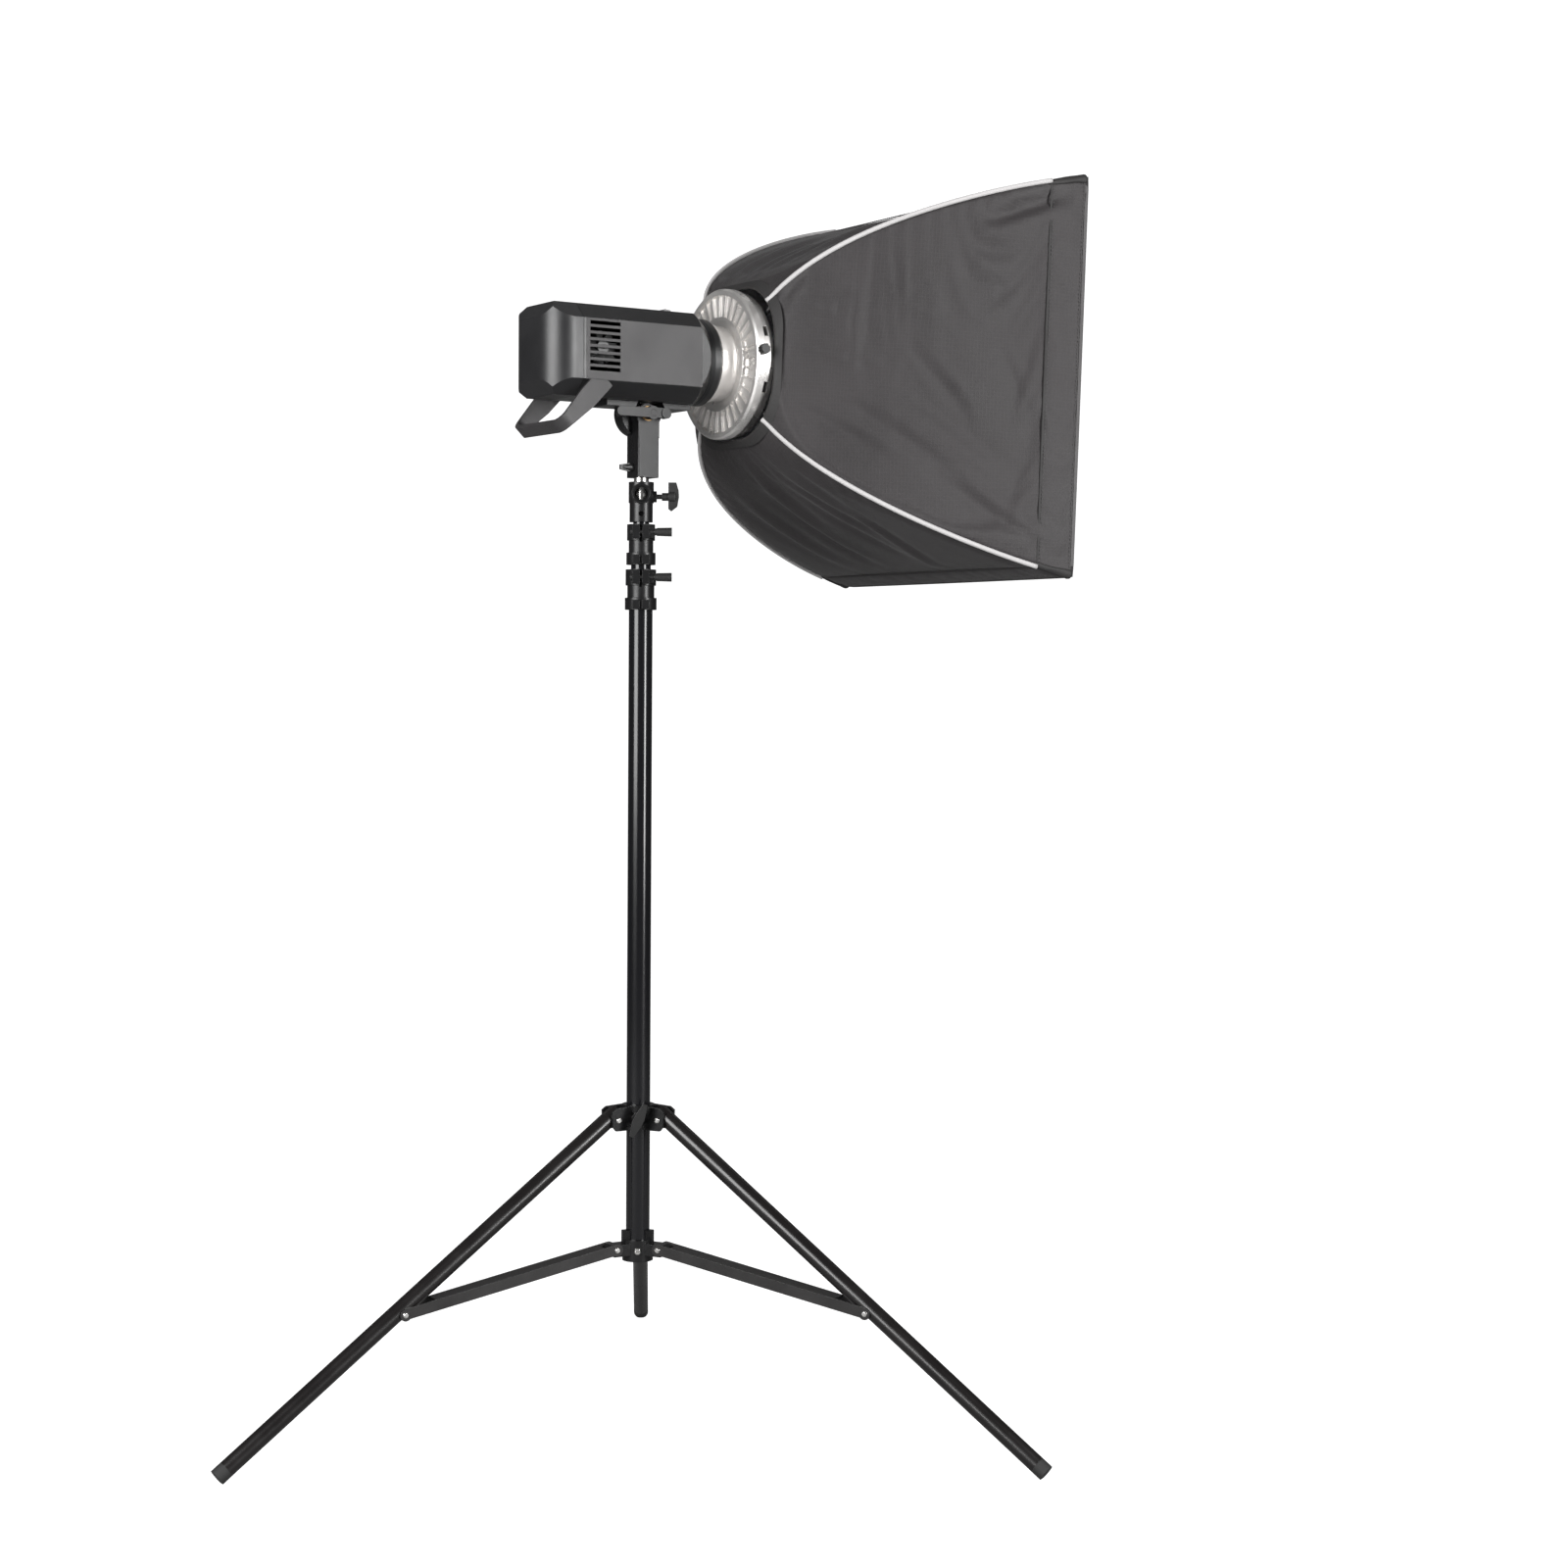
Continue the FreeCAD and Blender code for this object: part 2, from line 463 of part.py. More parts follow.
def body_outer():
    body = octagon(BODY_HALF_W, BODY_HALF_H, BODY_SIDE_FLAT, BODY_TOP_FLAT, BODY_X0, BODY_X1)
    plan = box(BODY_X0, BODY_X1 + 40, -BODY_HALF_W, BODY_HALF_W, AXIS_Z - 80, AXIS_Z + 80)
    rear = [e for e in plan.Edges if abs(e.tangentAt(e.FirstParameter).z) > 0.99
            and e.CenterOfMass.x < BODY_X0 + 1]
    plan = plan.makeFillet(BODY_CORNER, rear)
    high = BODY_HALF_H + 10
    side_view = ((BODY_X0, REAR_BEVEL_Z - BODY_HALF_H), (BODY_X0, BODY_HALF_H - REAR_BEVEL_Z),
                 (BODY_X0 + REAR_BEVEL_X, BODY_HALF_H), (BODY_X0 + REAR_BEVEL_X, high),
                 (BODY_X1 + 40, high), (BODY_X1 + 40, -high),
                 (BODY_X0 + REAR_BEVEL_X, -high), (BODY_X0 + REAR_BEVEL_X, -BODY_HALF_H))
    bevelled = prism([V(x, -80, AXIS_Z + z) for x, z in side_view], V(0, 160, 0))
    nose = revolve_about_x([(BODY_X0 - 10, 0), (BODY_X0 - 10, 90), (46, 90), (46, 72), (60, 62),
                            (BODY_X1, 54), (BODY_X1, 0)])
    return body.common(plan).common(bevelled).common(nose)


BATTERY_X = -113.6                      # the battery is the whole rear of the head
PANEL_X0, PANEL_X1, PANEL_DEPTH = -110.0, 55.0, 1.5
VENT_X0, VENT_X1, VENT_PITCH, VENT_H, VENT_COUNT = -105.0, -62.6, 8.0, 4.4, 8
VENT_Z0 = AXIS_Z - 26.5
FAN_X, FAN_Z, FAN_R = -83.8, AXIS_Z + 3.7, 20.0


def vent_slots(y0, y1):
    return [box(VENT_X0, VENT_X1, y0, y1, VENT_Z0 + i * VENT_PITCH, VENT_Z0 + i * VENT_PITCH + VENT_H)
            for i in range(VENT_COUNT)]


def flash_housing():
    w = BODY_WALL
    hollow = octagon(BODY_HALF_W - w, BODY_HALF_H - w, BODY_SIDE_FLAT - 1, BODY_TOP_FLAT - 1,
                     BATTERY_X + w, BODY_X1 - w)
    nose = revolve_about_x([(BODY_X0, 0), (BODY_X0, 86), (44, 86), (44, 68), (58, 58), (BODY_X1 - w, 50),
                            (BODY_X1 - w, 0)])
    shell = body_outer().cut(hollow.common(nose))
    shell = shell.cut(box(BODY_X0 - 1, BATTERY_X, -60, 60, AXIS_Z - 60, AXIS_Z + 60))
    shell = shell.cut(box(BATTERY_X - 1, BATTERY_X + w + 1, -30.4, 30.4, AXIS_Z - 30.4, AXIS_Z + 30.4))
    shell = shell.cut(rod(44, V(BODY_X1 - 10, 0, AXIS_Z), X_AXIS, 20))
    recess = box(PANEL_X0, PANEL_X1, -BODY_HALF_W - 1, -BODY_HALF_W + PANEL_DEPTH,
                 AXIS_Z - BODY_SIDE_FLAT, AXIS_Z + BODY_SIDE_FLAT)
    shell = shell.cut(recess)
    window = box(VENT_X0 - 3, VENT_X1 + 3, -BODY_HALF_W - 1, -BODY_HALF_W + 8, AXIS_Z - 31, AXIS_Z + 36)
    shell = shell.cut(window)
    shell = shell.cut(box(CONTROL_X - CONTROL_HALF, CONTROL_X + CONTROL_HALF, 40, 80,
                          AXIS_Z - CONTROL_HALF, AXIS_Z + CONTROL_HALF))
    release = box(22, 42, -8, 8, AXIS_Z + 40, AXIS_Z + 80)
    shell = shell.cut(release)
    return shell.cut(rod(4 + RUNNING, V(HANDLE_X, -80, HANDLE_Z), Y_AXIS, 160))


def side_panel():
    """Textured panel on the near side, with the vent slots and the fan's post."""
    panel = box(PANEL_X0, PANEL_X1, -BODY_HALF_W, -BODY_HALF_W + PANEL_DEPTH,
                AXIS_Z - BODY_SIDE_FLAT, AXIS_Z + BODY_SIDE_FLAT)
    panel = panel.cut(group(vent_slots(-BODY_HALF_W - 1, -BODY_HALF_W + 3)))
    inner_y = -BODY_HALF_W + PANEL_DEPTH
    spider = box(VENT_X0 - 2, VENT_X1 + 2, inner_y, inner_y + 3, FAN_Z - 1.8, FAN_Z + 1.8)
    post = rod(2.5, V(FAN_X, inner_y, FAN_Z), Y_AXIS, 16)
    return joined([panel, spider, post])


def fan_rotor():
    y0 = -BODY_HALF_W + PANEL_DEPTH + 4
    hub = rod(8, V(FAN_X, y0, FAN_Z), Y_AXIS, 9)
    blades = []
    for i in range(7):
        blade = box(FAN_X + 6, FAN_X + FAN_R, y0 + 3.8, y0 + 5.2, FAN_Z - 6, FAN_Z + 6)
        blade.rotate(V(FAN_X + 15, y0 + 4.5, FAN_Z), X_AXIS, 28)
        blades.append(turned(blade, 360 / 7 * i, V(FAN_X, y0, FAN_Z), Y_AXIS))
    rotor = joined([hub] + blades)
    return rotor.cut(rod(2.5 + RUNNING, V(FAN_X, y0 - 5, FAN_Z), Y_AXIS, 30))


CONTROL_X, CONTROL_HALF = -20.0, 35.0   # control panel, on the far side of the head
DIAL_Z, DIAL_R = AXIS_Z - 12, 11.0
BUTTON_R, BUTTON_Z = 4.5, AXIS_Z - 25
BUTTON_X = {"power_button": CONTROL_X - 24, "test_button": CONTROL_X + 24}
FACE = BODY_HALF_W - 0.8                # the control panel's face


def control_panel():
    """Panel in the far side, with a window for the display and holes for dial and buttons."""
    half = CONTROL_HALF - 0.1
    panel = box(CONTROL_X - half, CONTROL_X + half, FACE - 6, FACE, AXIS_Z - half, AXIS_Z + half)
    panel = panel.cut(box(CONTROL_X - 28, CONTROL_X + 28, FACE - 2, FACE + 1, AXIS_Z + 5, AXIS_Z + 31))
    panel = panel.cut(rod(3 + RUNNING, V(CONTROL_X, 0, DIAL_Z), Y_AXIS, 80))
    for x in BUTTON_X.values():
        panel = panel.cut(rod(BUTTON_R + RUNNING, V(x, 0, BUTTON_Z), Y_AXIS, 80))
    return panel


def display_window():
    return box(CONTROL_X - 28, CONTROL_X + 28, FACE - 2, FACE - 0.4, AXIS_Z + 5, AXIS_Z + 31)


def control_dial():
    knob = rod(DIAL_R, V(CONTROL_X, FACE + 0.3, DIAL_Z), Y_AXIS, 7)
    flutes = [rod(0.7, V(CONTROL_X + DIAL_R * math.cos(a), FACE + 1.5, DIAL_Z + DIAL_R * math.sin(a)),
                  Y_AXIS, 6) for a in [math.radians(20 * i) for i in range(18)]]
    return joined([knob.cut(group(flutes)), rod(3, V(CONTROL_X, FACE - 8, DIAL_Z), Y_AXIS, 10)])


def button(name):
    """Round key that is pressed inwards, along -Y."""
    cap = rod(BUTTON_R, V(BUTTON_X[name], FACE - 7, BUTTON_Z), Y_AXIS, 9)
    flange = rod(BUTTON_R + 1.2, V(BUTTON_X[name], FACE - 7.4, BUTTON_Z), Y_AXIS, 1.2)
    return joined([cap, flange])


LATCH_X, LATCH_HALF = -126.0, 7.0


def battery_pack():
    """Battery: the rear of the head, which slides off backwards. Its latch is on top."""
    pack = body_outer().common(box(BODY_X0 - 1, BATTERY_X - 0.4, -60, 60, AXIS_Z - 60, AXIS_Z + 60))
    top = AXIS_Z + BODY_HALF_H
    pocket = box(LATCH_X - LATCH_HALF - 0.3, LATCH_X + LATCH_HALF + 0.3, -12.3, 12.3, top - 8, top + 5)
    tongue = box(BATTERY_X - 1, BATTERY_X + 2.4, -30, 30, AXIS_Z - 30, AXIS_Z + 30)
    return joined([pack.cut(pocket), tongue])


def battery_latch():
    top = AXIS_Z + BODY_HALF_H
    tab = box(LATCH_X - LATCH_HALF, LATCH_X + LATCH_HALF - 3, -12, 12, top - 7.5, top + 0.6)
    grips = [box(LATCH_X - 4 + 3 * i, LATCH_X - 3 + 3 * i, -9, 9, top + 0.6, top + 1.4) for i in range(2)]
    return joined([tab] + grips)


def mount_release():
    """Sliding catch on top, behind the bayonet, with a raised finger bump."""
    top = AXIS_Z + BODY_HALF_H
    slab = box(22.5, 38, -7.6, 7.6, top - 10, top + 1)
    bump = prism([V(22.5, -7.6, top + 1), V(38, -7.6, top + 1), V(37, -7.6, top + 5.5),
                  V(29, -7.6, top + 6.5)], V(0, 15.2, 0))
    return joined([slab, bump])


HANDLE_X, HANDLE_Z = -96.0, AXIS_Z - 46.0
HANDLE_LEAN = 44.0                      # degrees that the bail rests behind straight down


def handle_bail():
    """Strap bent into a U with round corners, pivoted on both sides of the body."""
    inner, outer = BODY_HALF_W + 0.6, BODY_HALF_W + 4.6
    reach = 69.0
    bar = 6.0
    top, low = HANDLE_Z + 15, HANDLE_Z - reach - 4

    def block(half, z0, corner_r):
        body = box(HANDLE_X - 20, HANDLE_X + 20, -half, half, z0, top)
        corner = [e for e in body.Edges if abs(e.tangentAt(e.FirstParameter).x) > 0.99
                  and e.CenterOfMass.z < z0 + 1]
        return body.makeFillet(corner_r, corner)

    strap = block(outer, low, 17).cut(block(inner, low + bar, 13))
    side_view = ((-13, top), (13, top), (13, HANDLE_Z - 22), (8, HANDLE_Z - reach + 8), (8, low),
                 (-8, low), (-9, HANDLE_Z - reach + 12), (-13, HANDLE_Z - 18))
    strap = strap.common(prism([V(HANDLE_X + x, -80, z) for x, z in side_view], V(0, 160, 0)))
    pins = [rod(4, V(HANDLE_X, side * 42.5, HANDLE_Z), Y_AXIS * side, inner - 42) for side in (-1, 1)]
    handle = turned(joined([strap] + pins), HANDLE_LEAN, V(HANDLE_X, 0, HANDLE_Z), Y_AXIS)
    return handle.cut(box(-250, 50, -80, 80, AXIS_Z - BODY_SIDE_FLAT - 0.5, AXIS_Z + 80))


def front_bezel():
    return revolve_about_x([(BODY_X1, 44), (BODY_X1, 53), (76, 55), (84, 55), (BEZEL_X1, 52), (BEZEL_X1, 44)])


def bayonet_seat():
    """Bright metal seat that the speed ring's insert locks into."""
    return revolve_about_x([(BODY_X1 + 4, 40), (BODY_X1 + 4, 43.7), (BEZEL_X1, 43.7), (BEZEL_X1, SEAT_R),
                            (96, SEAT_R), (97, 48), (SEAT_X1, 48), (SEAT_X1, 40)])


def glass_dome():
    """Frosted cover over the flash tube."""
    outer = rod(36, V(BODY_X1 + 6, 0, AXIS_Z), X_AXIS, 34)
    cap = Part.makeSphere(60, V(BODY_X1 + 6 - 8, 0, AXIS_Z)).common(
        rod(36, V(BODY_X1 + 36, 0, AXIS_Z), X_AXIS, 40))
    inner = rod(34, V(BODY_X1 + 5, 0, AXIS_Z), X_AXIS, 31)
    flange = ring(39.7, 33, V(BODY_X1 + 4.5, 0, AXIS_Z), X_AXIS, 3)
    return joined([outer, cap, flange]).cut(inner)


def flash_tube():
    """Ring-shaped flash tube on two stems."""
    centre = V(BODY_X1 + 24, 0, AXIS_Z)
    loop = Part.makeTorus(22, 4, centre, X_AXIS)
    stems = [rod(2, V(BODY_X1 - 20, y, AXIS_Z), X_AXIS, 44) for y in (-22, 22)]
    base = rod(30, V(BODY_X1 - 24, 0, AXIS_Z), X_AXIS, 6)
    lamp = rod(8, V(BODY_X1 - 18, 0, AXIS_Z), X_AXIS, 40)
    return joined([loop, base, lamp] + stems)


def main_board():
    board = box(-100, 40, -34, 14, AXIS_Z - 44, AXIS_Z - 42)
    chips = [box(-90 + 32 * i, -76 + 32 * i, -26, -10, AXIS_Z - 42, AXIS_Z - 36) for i in range(4)]
    return joined([board] + chips)


# ---- speed ring -----------------------------------------------------------------------
SLOT_COUNT, RADIAL_RIBS = 8, 33
RING_KNOB_TURN = 84.0                   # around the axis from straight up, towards the near side


def ring_insert():
    """Bayonet insert that the speed ring turns on."""
    return revolve_about_x([(SEAT_X1 + 0.2, 40.5), (SEAT_X1 + 0.2, 47), (RING_X0 + 1, 47),
                            (RING_X0 + 1, INSERT_R), (RING_X1 - 3, INSERT_R), (RING_X1 - 3, 40.5)])


def speed_ring():
    """Cast ring: recessed face with radial ribs, and a slotted rim."""
    r = RING_R
    profile = [(RING_X0 + 1, INSERT_R + RUNNING), (RING_X0, 56), (RING_X0, 60), (RING_X0 + 4, 61),
               (RING_X0 + 4, 86), (RING_X0, 87.5), (RING_X0, 93), (RING_X0 + 2.5, r), (RING_X0 + 12, r),
               (RING_X0 + 12, 92.5), (RING_X1, 92.5), (RING_X1, 88.5), (RING_X0 + 8, 88.5),
               (RING_X0 + 8, 57), (RING_X1 - 3, 57), (RING_X1 - 3, INSERT_R + RUNNING)]
    body = revolve_about_x(profile)
    centre = V(0, 0, AXIS_Z)
    ribs = [turned(box(RING_X0 + 0.5, RING_X0 + 5, -1.6, 1.6, AXIS_Z + 59, AXIS_Z + 88),
                   360 / RADIAL_RIBS * i, centre, X_AXIS) for i in range(RADIAL_RIBS)]
    body = joined([body] + ribs)
    slots = [turned(box(RING_X0 + 14, RING_X0 + 20, -7, 7, AXIS_Z + 80, AXIS_Z + 99),
                    360 / SLOT_COUNT * (i + 0.5), centre, X_AXIS) for i in range(SLOT_COUNT)]
    body = body.cut(group(slots))
    knob_way = turned(rod(3 + RUNNING, V(RING_X0 + 6, 0, AXIS_Z + 45), Z_AXIS, 60), RING_KNOB_TURN,
                      centre, X_AXIS)
    boss = turned(ring(6, 3 + RUNNING, V(RING_X0 + 6, 0, AXIS_Z + 56), Z_AXIS, 33), RING_KNOB_TURN,
                  centre, X_AXIS)
    return joined([body.cut(knob_way), boss])


def ring_knob():
    bolt = rod(3, V(RING_X0 + 6, 0, AXIS_Z + INSERT_R + 0.4), Z_AXIS, 50)
    grip = rod(6.5, V(RING_X0 + 6, 0, AXIS_Z + RING_R + 0.8), Z_AXIS, 9)
    grip = grip.cut(group([rod(1.2, V(RING_X0 + 6 + 6.9 * math.cos(a), 6.9 * math.sin(a), AXIS_Z + RING_R),
                               Z_AXIS, 12) for a in [math.radians(45 * i) for i in range(8)]]))
    return turned(joined([bolt, grip]), RING_KNOB_TURN, V(0, 0, AXIS_Z), X_AXIS)


# ---- softbox --------------------------------------------------------------------------
def drooped(shape):
    return turned(shape, SAG, V(SOFTBOX_X, 0, AXIS_Z), Y_AXIS)


def rib_curve():
    """The rod line in its own plane: x along the softbox, z away from its axis."""
    curve = Part.BSplineCurve()
    curve.interpolate([V(SOFTBOX_X + a, 0, AXIS_Z + r) for a, r in RIB_PROFILE])
    return curve


def rib_radius(distance):
    """Distance of the rod line from the axis, that far along the softbox."""
    plane = Part.Plane(V(SOFTBOX_X + distance, 0, AXIS_Z), X_AXIS)
    points = rib_curve().intersect(plane)[0]
    return points[0].Z - AXIS_Z if points else RIB_PROFILE[-1][1]


def section(distance, radius, corner):
    """Rounded square wire across the softbox, its corners at radius from the axis."""
    half = (radius - corner) / math.sqrt(2) + corner
    x = SOFTBOX_X + distance
    c, s = half - corner, corner * math.sqrt(0.5)
    edges = []
    for i in range(4):
        start, end = V(x, -c, AXIS_Z + half), V(x, c, AXIS_Z + half)
        side = Part.LineSegment(start, end).toShape()
        mid = V(x, c + s, AXIS_Z + c + s)
        arc = Part.Arc(end, mid, V(x, half, AXIS_Z + c)).toShape()
        for edge in (side, arc):
            edges.append(turned(edge, -90 * i, V(0, 0, AXIS_Z), X_AXIS))
    return Part.Wire(edges)


CANOPY_STATIONS = ((0.0, 78.0), (18.0, 44.0), (45.0, 16.0), (95.0, 8.0), (160.0, 6.0), (240.0, 6.0),
                   (311.0, 6.0), (DEPTH, 6.0))
ROD_GAP = ROD_R + 0.8


def canopy_loft(inset):
    wires = []
    for distance, corner in CANOPY_STATIONS:
        radius = rib_radius(min(distance, DEPTH - 0.01)) - inset * math.sqrt(2)
        wires.append(section(distance, radius, max(corner - inset, 2.0)))
    return Part.makeLoft(wires, True, False)


def canopy():
    """Fabric cover: one skin from the ring to the front edge, open at both ends."""
    inner = canopy_loft(FABRIC)
    shell = canopy_loft(0).cut(inner)
    return drooped(shell)


def rod_line_inside(distance_in):
    """Sweep path of one rod, that far inside the fabric's corner line."""
    points = [V(SOFTBOX_X + a, 0, AXIS_Z + r - distance_in) for a, r in RIB_PROFILE]
    points[0] = V(SOFTBOX_X + 6, 0, AXIS_Z + 84)
    points[-1] = V(SOFTBOX_X + DEPTH - 8, 0, AXIS_Z + RIB_PROFILE[-1][1] - distance_in - 3)
    curve = Part.BSplineCurve()
    curve.interpolate(points)
    return curve


ROD_INSIDE = 9.0


def rib_rods():
    """Four spring rods that bow the fabric out, one inside each corner seam."""
    curve = rod_line_inside(ROD_INSIDE)
    start = curve.value(curve.FirstParameter)
    profile = Part.Wire(Part.makeCircle(ROD_R, start, curve.tangent(curve.FirstParameter)[0]))
    one = Part.Wire(curve.toShape()).makePipeShell([profile], True, False)
    rods = [turned(one, 45 + 90 * i, V(0, 0, AXIS_Z), X_AXIS) for i in range(4)]
    return drooped(group(rods))


def rib_sockets():
    """Swivel sockets at the ring, one for each rod."""
    block = box(SOFTBOX_X - 14, SOFTBOX_X - 0.4, -7, 7, AXIS_Z + 66, AXIS_Z + 87.5)
    return group([turned(block, 45 + 90 * i, V(0, 0, AXIS_Z), X_AXIS) for i in range(4)])


def front_diffuser():
    """White front panel, set back inside the skirt."""
    half = HALF_FRONT - FABRIC - 3.5
    x = SOFTBOX_X + DEPTH - 14
    panel = box(x, x + 1.5, -half, half, AXIS_Z - half, AXIS_Z + half)
    for i in range(4):
        corner = turned(box(x - 5, x + 5, half - 12, half + 5, AXIS_Z + half - 12, AXIS_Z + half + 5),
                        90 * i, V(0, 0, AXIS_Z), X_AXIS)
        panel = panel.cut(corner)
    return drooped(panel)


def inner_baffle():
    """Smaller diffuser halfway, held by a strap to each corner seam."""
    x, half = SOFTBOX_X + 205, 150.0
    panel = box(x, x + 1.2, -half, half, AXIS_Z - half, AXIS_Z + half)
    straps = [turned(box(x, x + 1.2, -7, 7, AXIS_Z + half * 1.3, AXIS_Z + 286), 45 + 90 * i,
                     V(0, 0, AXIS_Z), X_AXIS) for i in range(4)]
    return drooped(joined([panel] + straps))


def corner_caps():
    """Pockets over the rods' front ends."""
    outer = rib_radius(DEPTH - 1) + 2.5
    cap = box(SOFTBOX_X + DEPTH - 15, SOFTBOX_X + DEPTH + 2.5, -8, 8, AXIS_Z + outer - 13, AXIS_Z + outer)
    caps = [turned(cap, 45 + 90 * i, V(0, 0, AXIS_Z), X_AXIS) for i in range(4)]
    keep_out = canopy_loft(-0.3)
    return drooped(group([c.cut(keep_out) for c in caps]))


# ---- the whole object -----------------------------------------------------------------
def build():
    """Node name to shape, drawn about the column."""
    nodes = {
        "column_tube": column_tube(), "lower_hub": lower_hub(), "lower_hub_rivets": lower_hub_rivets(),
        "hub_screws": hub_screws(), "upper_hub": upper_hub(), "upper_hub_rivets": upper_hub_rivets(),
        "hub_lever": hub_lever(), "mid_tube": mid_tube(), "top_tube": top_tube(),
        "lower_collar": collar(COLLAR1_Z, TUBE1_R, TUBE2_R, 19.2),
        "upper_collar": collar(COLLAR2_Z, TUBE2_R, TUBE3_R, 17.6),
        "lower_collar_knob": collar_knob(COLLAR1_Z, 19.2),
        "upper_collar_knob": collar_knob(COLLAR2_Z, 17.6),
        "stand_head": stand_head(), "head_wing_screw": head_wing_screw(),
        "stand_stud": stand_stud(), "bracket_block": bracket_block(),
        "stud_lock_screw": stud_lock_screw(), "tilt_knuckle": tilt_knuckle(), "tilt_bolt": tilt_bolt(),
        "tilt_washer": tilt_washer(), "tilt_lever": tilt_lever(),
        "flash_housing": flash_housing(), "side_panel": side_panel(), "control_panel": control_panel(),
        "display_window": display_window(), "control_dial": control_dial(),
        "power_button": button("power_button"), "test_button": button("test_button"),
        "battery_pack": battery_pack(), "battery_latch": battery_latch(),
        "mount_release": mount_release(), "handle_bail": handle_bail(),
        "front_bezel": front_bezel(), "bayonet_seat": bayonet_seat(), "glass_dome": glass_dome(),
        "flash_tube": flash_tube(), "main_board": main_board(),
        "fan_rotor": fan_rotor(),
        "ring_insert": ring_insert(), "speed_ring": speed_ring(), "ring_knob": ring_knob(),
        "canopy": canopy(), "rib_rods": rib_rods(), "rib_sockets": rib_sockets(),
        "front_diffuser": front_diffuser(), "inner_baffle": inner_baffle(), "corner_caps": corner_caps(),
    }
    for number, heading in enumerate(LEG_HEADINGS, 1):
        nodes[f"leg_tube_{number}"] = turned(leg_tube(), heading)
        nodes[f"leg_foot_{number}"] = turned(leg_foot(), heading)
        nodes[f"brace_{number}"] = turned(brace(), heading)
        nodes[f"brace_rivet_{number}"] = turned(rivet(BRACE_PIVOT, BRACE_RIVET_HALF), heading)
    return nodes


def column_shift(nodes):
    """The move that puts the origin under the middle of the object's box."""
    whole = FreeCAD.BoundBox()
    for shape in nodes.values():
        whole.add(shape.optimalBoundingBox(False, False))
    return V(-whole.Center.x, -whole.Center.y, 0)


def main():
    nodes = build()
    shift = column_shift(nodes)
    os.makedirs("parts", exist_ok=True)
    for name, shape in nodes.items():
        shape.translate(shift)
        shape.exportStep(f"parts/{name}.step")


main()
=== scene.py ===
import json
import math

import bpy
import numpy as np
from mathutils import Matrix, Vector


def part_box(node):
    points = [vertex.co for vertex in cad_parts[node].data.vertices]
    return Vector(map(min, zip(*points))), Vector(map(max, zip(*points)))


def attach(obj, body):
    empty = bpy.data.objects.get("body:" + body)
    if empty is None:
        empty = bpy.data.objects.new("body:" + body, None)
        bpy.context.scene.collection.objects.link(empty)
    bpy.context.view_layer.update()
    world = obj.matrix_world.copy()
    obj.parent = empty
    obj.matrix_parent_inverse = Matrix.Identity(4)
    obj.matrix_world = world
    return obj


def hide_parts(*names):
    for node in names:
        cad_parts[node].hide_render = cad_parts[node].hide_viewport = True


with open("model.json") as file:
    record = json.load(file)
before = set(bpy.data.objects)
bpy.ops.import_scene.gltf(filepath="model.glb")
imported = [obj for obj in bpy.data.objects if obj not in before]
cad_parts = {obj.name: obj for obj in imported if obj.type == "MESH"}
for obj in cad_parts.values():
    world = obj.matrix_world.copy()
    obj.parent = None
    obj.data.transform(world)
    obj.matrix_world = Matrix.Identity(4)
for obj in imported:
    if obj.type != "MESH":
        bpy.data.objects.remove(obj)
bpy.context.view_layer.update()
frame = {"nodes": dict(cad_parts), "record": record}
RECORD = frame["record"]
NODES = frame["nodes"]

# ---- places taken from the frame ------------------------------------------------------
ring_low, ring_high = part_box("speed_ring")
RING_CENTRE = Vector((ring_high.x, (ring_low.y + ring_high.y) / 2, (ring_low.z + ring_high.z) / 2))
tube_low, tube_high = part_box("column_tube")
POLE = Vector(((tube_low.x + tube_high.x) / 2, (tube_low.y + tube_high.y) / 2, 0))

SAG = math.radians(2.1)                 # the softbox droops on its ring
DEPTH = 0.361
SKIRT = 0.050
BAFFLE_A = 0.205                        # the inner cloth's place along the softbox
STRAP_START = 0.205                     # the baffle's corner, from the softbox's axis
RIB_PROFILE = ((0.0, 0.106), (0.037, 0.176), (0.121, 0.251), (0.217, 0.306), (DEPTH, 0.3592))
CORNERS = ((0.0, 0.078), (0.018, 0.044), (0.045, 0.016), (0.095, 0.006), (DEPTH, 0.004))
AXIS = Vector((math.cos(SAG), 0, -math.sin(SAG)))
UP = Vector((math.sin(SAG), 0, math.cos(SAG)))
SIDE = Vector((0, 1, 0))
rng = np.random.default_rng(7)


# ---- materials ------------------------------------------------------------------------
def new_material(name):
    material = bpy.data.materials.new(name)
    material.use_nodes = True
    tree = material.node_tree
    tree.nodes.clear()
    out = tree.nodes.new("ShaderNodeOutputMaterial")
    shader = tree.nodes.new("ShaderNodeBsdfPrincipled")
    tree.links.new(shader.outputs["BSDF"], out.inputs["Surface"])
    return material, tree, shader


def math_node(tree, operation, a, b=None, c=None):
    node = tree.nodes.new("ShaderNodeMath")
    node.operation = operation
    for slot, value in zip(node.inputs, (a, b, c)):
        if value is None:
            continue
        if isinstance(value, (int, float)):
            slot.default_value = value
        else:
            tree.links.new(value, slot)
    return node.outputs[0]


def noise(tree, coords, scale, detail=3.0, roughness=0.55):
    node = tree.nodes.new("ShaderNodeTexNoise")
    node.inputs["Scale"].default_value = scale
    node.inputs["Detail"].default_value = detail
    node.inputs["Roughness"].default_value = roughness
    tree.links.new(coords, node.inputs["Vector"])
    return node.outputs["Fac"]


